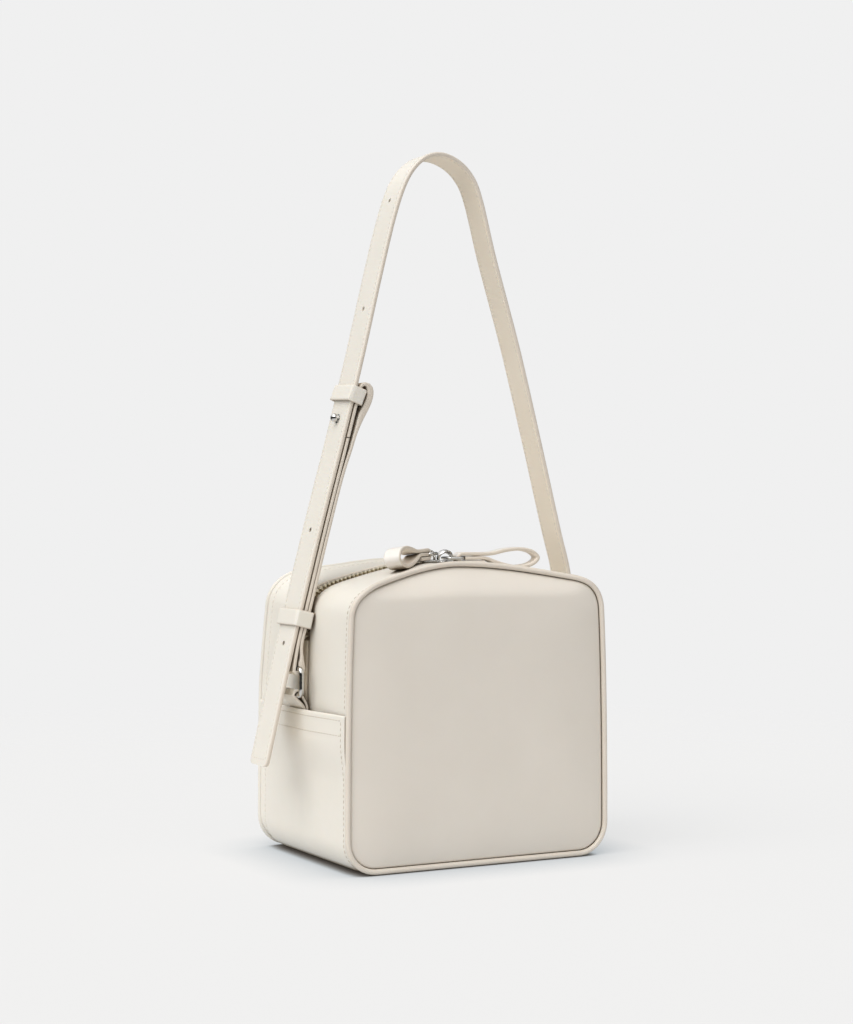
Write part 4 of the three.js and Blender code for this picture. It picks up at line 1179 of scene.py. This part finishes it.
def short_strap_route():
    outer, inner = SHORT_OUTER_FACE + SHORT_THICKNESS, SHORT_OUTER_FACE + SHORT_LAYER_STEP
    upper = [JOINT_AT, STUD_AT, (STUD_AT + UPPER_KEEPER_AT) / 2, UPPER_KEEPER_AT]
    loop = [
        under_strap(UPPER_KEEPER_AT + along * KEEPER_LENGTH, outer + out * KEEPER_LOOP_DEPTH)
        for along, out in KEEPER_LOOP
    ]
    down_from = UPPER_KEEPER_AT - KEEPER_LOOP_END * KEEPER_LENGTH
    part_at = LOWER_KEEPER_AT - LAYERS_PART_AT * KEEPER_LENGTH
    downward = [down_from, (down_from + LOWER_KEEPER_AT) / 2, LOWER_KEEPER_AT, part_at]
    up_end = JOINT_AT - 2 * GAP
    upward = [part_at, LOWER_KEEPER_AT, (up_end + LOWER_KEEPER_AT) / 2, up_end]
    fold = arc((-RING_X, RING_Z + RING_BAR_OFFSET), RING_RADIUS + GAP, 0, -180, 6)
    return spline([
        *[under_strap(d, outer) for d in upper], *loop,
        *[under_strap(d, inner) for d in downward], *fold,
        *[under_strap(d, outer) for d in upward],
    ])


def add_short_strap():
    route = resampled(short_strap_route(), 1.6)[::-1]
    away = np.array([np.linalg.norm(STRAP_LINE - point, axis=1).min() for point in route])
    fill = LOOP_FILL * smooth_step(away, *LOOP_FILL_FROM)
    made = strip(
        "strap_short_leather", route, SHORT_THICKNESS, STRAP_WIDTH, fill=fill, replaces=["strap_short"]
    )
    punch_holes(made, [STUD_AT], SHORT_OUTER_FACE, SHORT_THICKNESS)


def add_keeper(name, held, slack, matrix):
    """A closed leather band round the layers that it holds."""
    inner = held + 2 * GAP + slack
    path = rounded_rectangle(inner / 2, STRAP_WIDTH / 2 + KEEPER_PLAY, KEEPER_THICKNESS / 4, 5)
    path = resampled(path, 0.5, closed=True)
    outward = tangents(path)[:, ::-1] * [1, -1]
    ring, picks = rounded_section(KEEPER_LENGTH, KEEPER_THICKNESS, KEEPER_ROUNDING)
    sections = []
    for along, depth in ring:
        place = path + outward * (KEEPER_THICKNESS - depth)
        sections.append(np.column_stack([place, np.full(len(path), along)]))
    loft(
        name + "_band", moved(np.stack(sections, axis=1), matrix), STRAP_MATERIALS, picks, closed=True,
        replaces=[name], slot="strap_leather",
    )


def add_keepers():
    held = SHORT_OUTER_FACE + SHORT_THICKNESS
    depth = held / 2 + UPPER_KEEPER_SLACK / 4
    matrix = onto_strap(UPPER_KEEPER_AT, depth, UPPER_KEEPER_TILT, UPPER_KEEPER_SKEW)
    add_keeper("keeper_upper", held, UPPER_KEEPER_SLACK, matrix)
    held += SHORT_LAYER_STEP
    add_keeper("keeper_lower", held, LOWER_KEEPER_SLACK, onto_strap(LOWER_KEEPER_AT, held / 2))


def add_stud():
    neck, flange, ball = STUD_NECK / 2, STUD_FLANGE / 2, STUD_BALL / 2
    back = -(SHORT_OUTER_FACE + SHORT_THICKNESS + GAP / 3)
    centre = COLLAR_HEIGHT + ball - STUD_SINK
    start = math.degrees(math.asin(neck / ball)) - 90
    profile = np.vstack([
        [(0.05, back - STUD_FLANGE_THICKNESS), (flange - 0.2, back - STUD_FLANGE_THICKNESS)],
        [(flange, back - 0.5), (flange, back - 0.1), (flange - 0.1, back), (neck, back)],
        [(neck, 0.02), (COLLAR_RADIUS, 0.02), (COLLAR_RADIUS, 0.3), (COLLAR_RADIUS - 0.25, COLLAR_HEIGHT)],
        [(neck + 0.2, COLLAR_HEIGHT + 0.05)],
        arc((0, centre), ball, start, 88, 20),
    ])
    angles = around(32)
    rings = [
        np.column_stack([np.full(32, -h), r * np.cos(angles), r * np.sin(angles)]) for r, h in profile
    ]
    loft("stud_ball", moved(rings, onto_strap(STUD_AT, 0)), [SILVER], sharp=50, **of_metal("stud"))


# Sliders, links and pulls


def slider_plate():
    right = spline(PLATE_OUTLINE, 4)
    outline = np.vstack([right, right[::-1] * [1, -1]])
    middle = np.array([SLIDER_LENGTH / 2, 0])
    rings = []
    for height, share in PLATE_LEVELS:
        flat = middle + (outline - middle) * share
        rings.append(np.column_stack([flat, np.full(len(flat), height)]))
    return np.stack(rings)


def slider_bridge():
    """An arch that is slim at its feet and swells to an egg at the top."""
    angles = np.linspace(0, math.pi, BRIDGE_STEPS)
    rise = SLIDER_HEIGHT - SLIDER_PLATE - 0.6
    centre = np.column_stack([
        SLIDER_LENGTH / 2 - BRIDGE_SPAN * np.cos(angles),
        SLIDER_PLATE - 0.4 + rise * np.sin(angles) ** 0.75,
    ])
    right = rights(centre)
    full = np.sin(angles) ** 1.5
    turns = around(14)
    rings = []
    for point, across, share in zip(centre, right, full):
        wide, thick = (foot + swell * share for foot, swell in (BRIDGE_WIDE, BRIDGE_THICK))
        flat = point - np.outer(thick * np.sin(turns) + BRIDGE_SET_IN * share, across)
        rings.append(np.column_stack([flat[:, 0], wide * np.cos(turns), flat[:, 1]]))
    return np.array(rings)


def add_slider(side, facing, pose):
    name = "zip_slider_" + side
    low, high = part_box(name)
    seat = Vector((low.x if facing > 0 else high.x, 0, low.z)) / MM
    placed = Matrix.Translation(seat) @ turn(0 if facing > 0 else 180, "Z")
    points, faces = [], []
    for part in (slider_plate(), slider_bridge()):
        rows, columns = part.shape[:2]
        faces += shifted(loft_faces(rows, columns, False), len(points))
        points += list(moved(part.reshape(-1, 3), placed))
    piece(name + "_body", points, faces, [SILVER], sharp=50, **of_metal(name))
    swing_at = (SLIDER_LENGTH / 2, 0, SLIDER_PLATE + GAP + LINK_WIRE / 2 + pose["rise"])
    held = placed @ Matrix.Translation(swing_at) @ turn(pose["swing"], "Z")
    held = held @ Matrix.Translation((LINK_REACH, 0, 0)) @ turn(pose["roll"], "X")
    add_link(side, held)
    add_pull(side, held @ turn(pose["droop"], "Y"))


def add_link(side, matrix):
    half = LINK_REACH / 2
    outline = rounded_rectangle(half, PULL_WIDTH / 2 + GAP + LINK_WIRE / 2, LINK_WIRE, 6)
    centres = np.column_stack([outline[:, 0] - half, outline[:, 1], np.zeros(len(outline))])
    centres = moved(resampled(centres, 0.6, closed=True), matrix)
    normal = np.array(matrix.to_3x3() @ Vector((0, 0, 1)))
    name = "zip_link_" + side
    wire(name + "_wire", centres, normal, LINK_WIRE / 2, 14, [SILVER], **of_metal(name))


def pull_route():
    step, half = PULL_THICKNESS + GAP, PULL_THICKNESS / 2
    loop = [
        (PULL_STACK_LENGTH + a * PULL_LOOP_LENGTH - half, u * (PULL_LOOP_HEIGHT / 2 - half))
        for a, u in PULL_LOOP
    ]
    centre = spline([
        (PULL_STACK_LENGTH, -step), (PULL_STACK_LENGTH / 2, -step), *arc((0, 0), step, 270, 90, 6),
        (PULL_STACK_LENGTH / 2, step), (PULL_STACK_LENGTH, step), *loop,
        (PULL_STACK_LENGTH, 0), (PULL_STACK_LENGTH / 2, 0), (LINK_WIRE / 2 + 2 * GAP, 0),
    ])
    centre = resampled(centre, 0.8)
    return centre - rights(centre) * half


def add_pull(side, matrix):
    name = "zip_pull_" + side
    strip(
        name + "_leather", pull_route(), PULL_THICKNESS, PULL_WIDTH, matrix=matrix, replaces=[name],
        materials=[CREAM_PULL, EDGE, PULL_PAINTED_FILL], rounding=PULL_ROUNDING, groove=PULL_GROOVE,
    )


# Studio


def add_floor():
    n = Nodes("floor")
    n.hold("Base Color", (*FLOOR_COLOUR, 1))
    n.hold("Roughness", 0.9)
    n.hold("Specular IOR Level", 0)
    # Painted contact shadow: the floor's glow turns darker and bluer where the bag stands close, with a dark
    # core line at its foot
    soft = n.span(n.closeness(CONTACT_SHADOW_REACH), 0.35, 1, 0, 1)
    core_shadow = n.span(n.closeness(CORE_SHADOW_REACH), 0.32, 0.72, 0, 1)
    glow = n.blend(core_shadow, CORE_SHADOW_GLOW, n.blend(soft, CONTACT_SHADOW_GLOW, OPEN_GLOW))
    n.feed("Emission Color", glow)
    n.hold("Emission Strength", FLOOR_GLOW)
    distance = n.add("ShaderNodeVectorMath", operation="LENGTH")
    n.join(n.place, distance.inputs[0])
    fade = n.span(distance.outputs["Value"], *FLOOR_FADE, 0, 1)
    mixed = n.mix(fade, n.shader, n.add("ShaderNodeBsdfTransparent"))
    n.join(mixed.outputs[0], n.tree.nodes["Material Output"].inputs["Surface"])
    bpy.ops.mesh.primitive_plane_add(size=6, location=(0, 0, CAD_LOW.z - 0.0001))
    floor = bpy.context.object
    floor.name = "floor"
    floor.data.materials.append(n.material)


def add_world():
    """Plain backdrop; soft light from above and the left; light and dark cards for the metal."""
    world = bpy.data.worlds.new("studio")
    bpy.context.scene.world = world
    world.use_nodes = True
    world.node_tree.nodes.clear()
    n = Tree(world.node_tree)
    place = n.add("ShaderNodeTexCoord").outputs["Generated"]
    toward = n.add("ShaderNodeVectorMath", operation="DOT_PRODUCT")
    toward.inputs[1].default_value = LIGHT_FROM
    height = n.add("ShaderNodeSeparateXYZ")
    patches = n.add("ShaderNodeTexNoise", Scale=CARD_SCALE)
    for node in (toward, height, patches):
        n.join(place, node.inputs[0])
    card = n.add("ShaderNodeMath", operation="MULTIPLY")
    n.join(n.span(patches.outputs["Fac"], *CARD_EDGE, *CARD_SPAN), card.inputs[0])
    n.join(n.span(height.outputs["Z"], *CARD_RISE, *CARD_RISE_SPAN), card.inputs[1])
    plain, lit, cards = (n.add("ShaderNodeBackground") for _ in range(3))
    plain.inputs["Color"].default_value = (BACKDROP, BACKDROP, BACKDROP, 1)
    n.join(n.span(toward.outputs["Value"], -1, 1, *LIGHT_SPAN), lit.inputs["Strength"])
    n.join(card.outputs[0], cards.inputs["Strength"])
    path = n.add("ShaderNodeLightPath")
    seen = n.mix(path.outputs["Is Glossy Ray"], lit, cards)
    seen = n.mix(path.outputs["Is Camera Ray"], seen, plain)
    n.join(seen.outputs[0], n.add("ShaderNodeOutputWorld").inputs["Surface"])


def add_sun():
    data = bpy.data.lights.new("key", "SUN")
    data.energy = SUN_STRENGTH
    data.angle = math.radians(SUN_ANGLE)
    sun = linked("key", data)
    sun.rotation_mode = "QUATERNION"
    sun.rotation_quaternion = Vector(SUN_FROM).to_track_quat("Z", "Y")


def add_camera():
    data = bpy.data.cameras.new("camera")
    data.lens = CAMERA_LENS
    camera = linked("camera", data)
    camera.location = CAMERA_PLACE
    camera.rotation_euler = [math.radians(a) for a in CAMERA_TURN]
    bpy.context.scene.camera = camera


def build():
    bpy.context.scene.view_settings.view_transform = "Standard"
    add_camera()
    add_world()
    add_sun()
    add_floor()
    add_panel("front_panel", -1)
    add_panel("back_panel", 1)
    add_piping("front_piping", -1)
    add_piping("back_piping", 1)
    add_base()
    add_zip_strip("zip_gusset_front", -1)
    add_zip_strip("zip_gusset_back", 1)
    add_tape()
    add_teeth()
    add_slider("left", -1, LEFT_PULL)
    add_slider("right", 1, RIGHT_PULL)
    for name, facing in (("left", -1), ("right", 1)):
        add_ring("ring_" + name, facing)
        add_tab("ring_tab_" + name, facing)
    add_strap()
    add_short_strap()
    add_keepers()
    add_stud()
    add_stitches()


build()
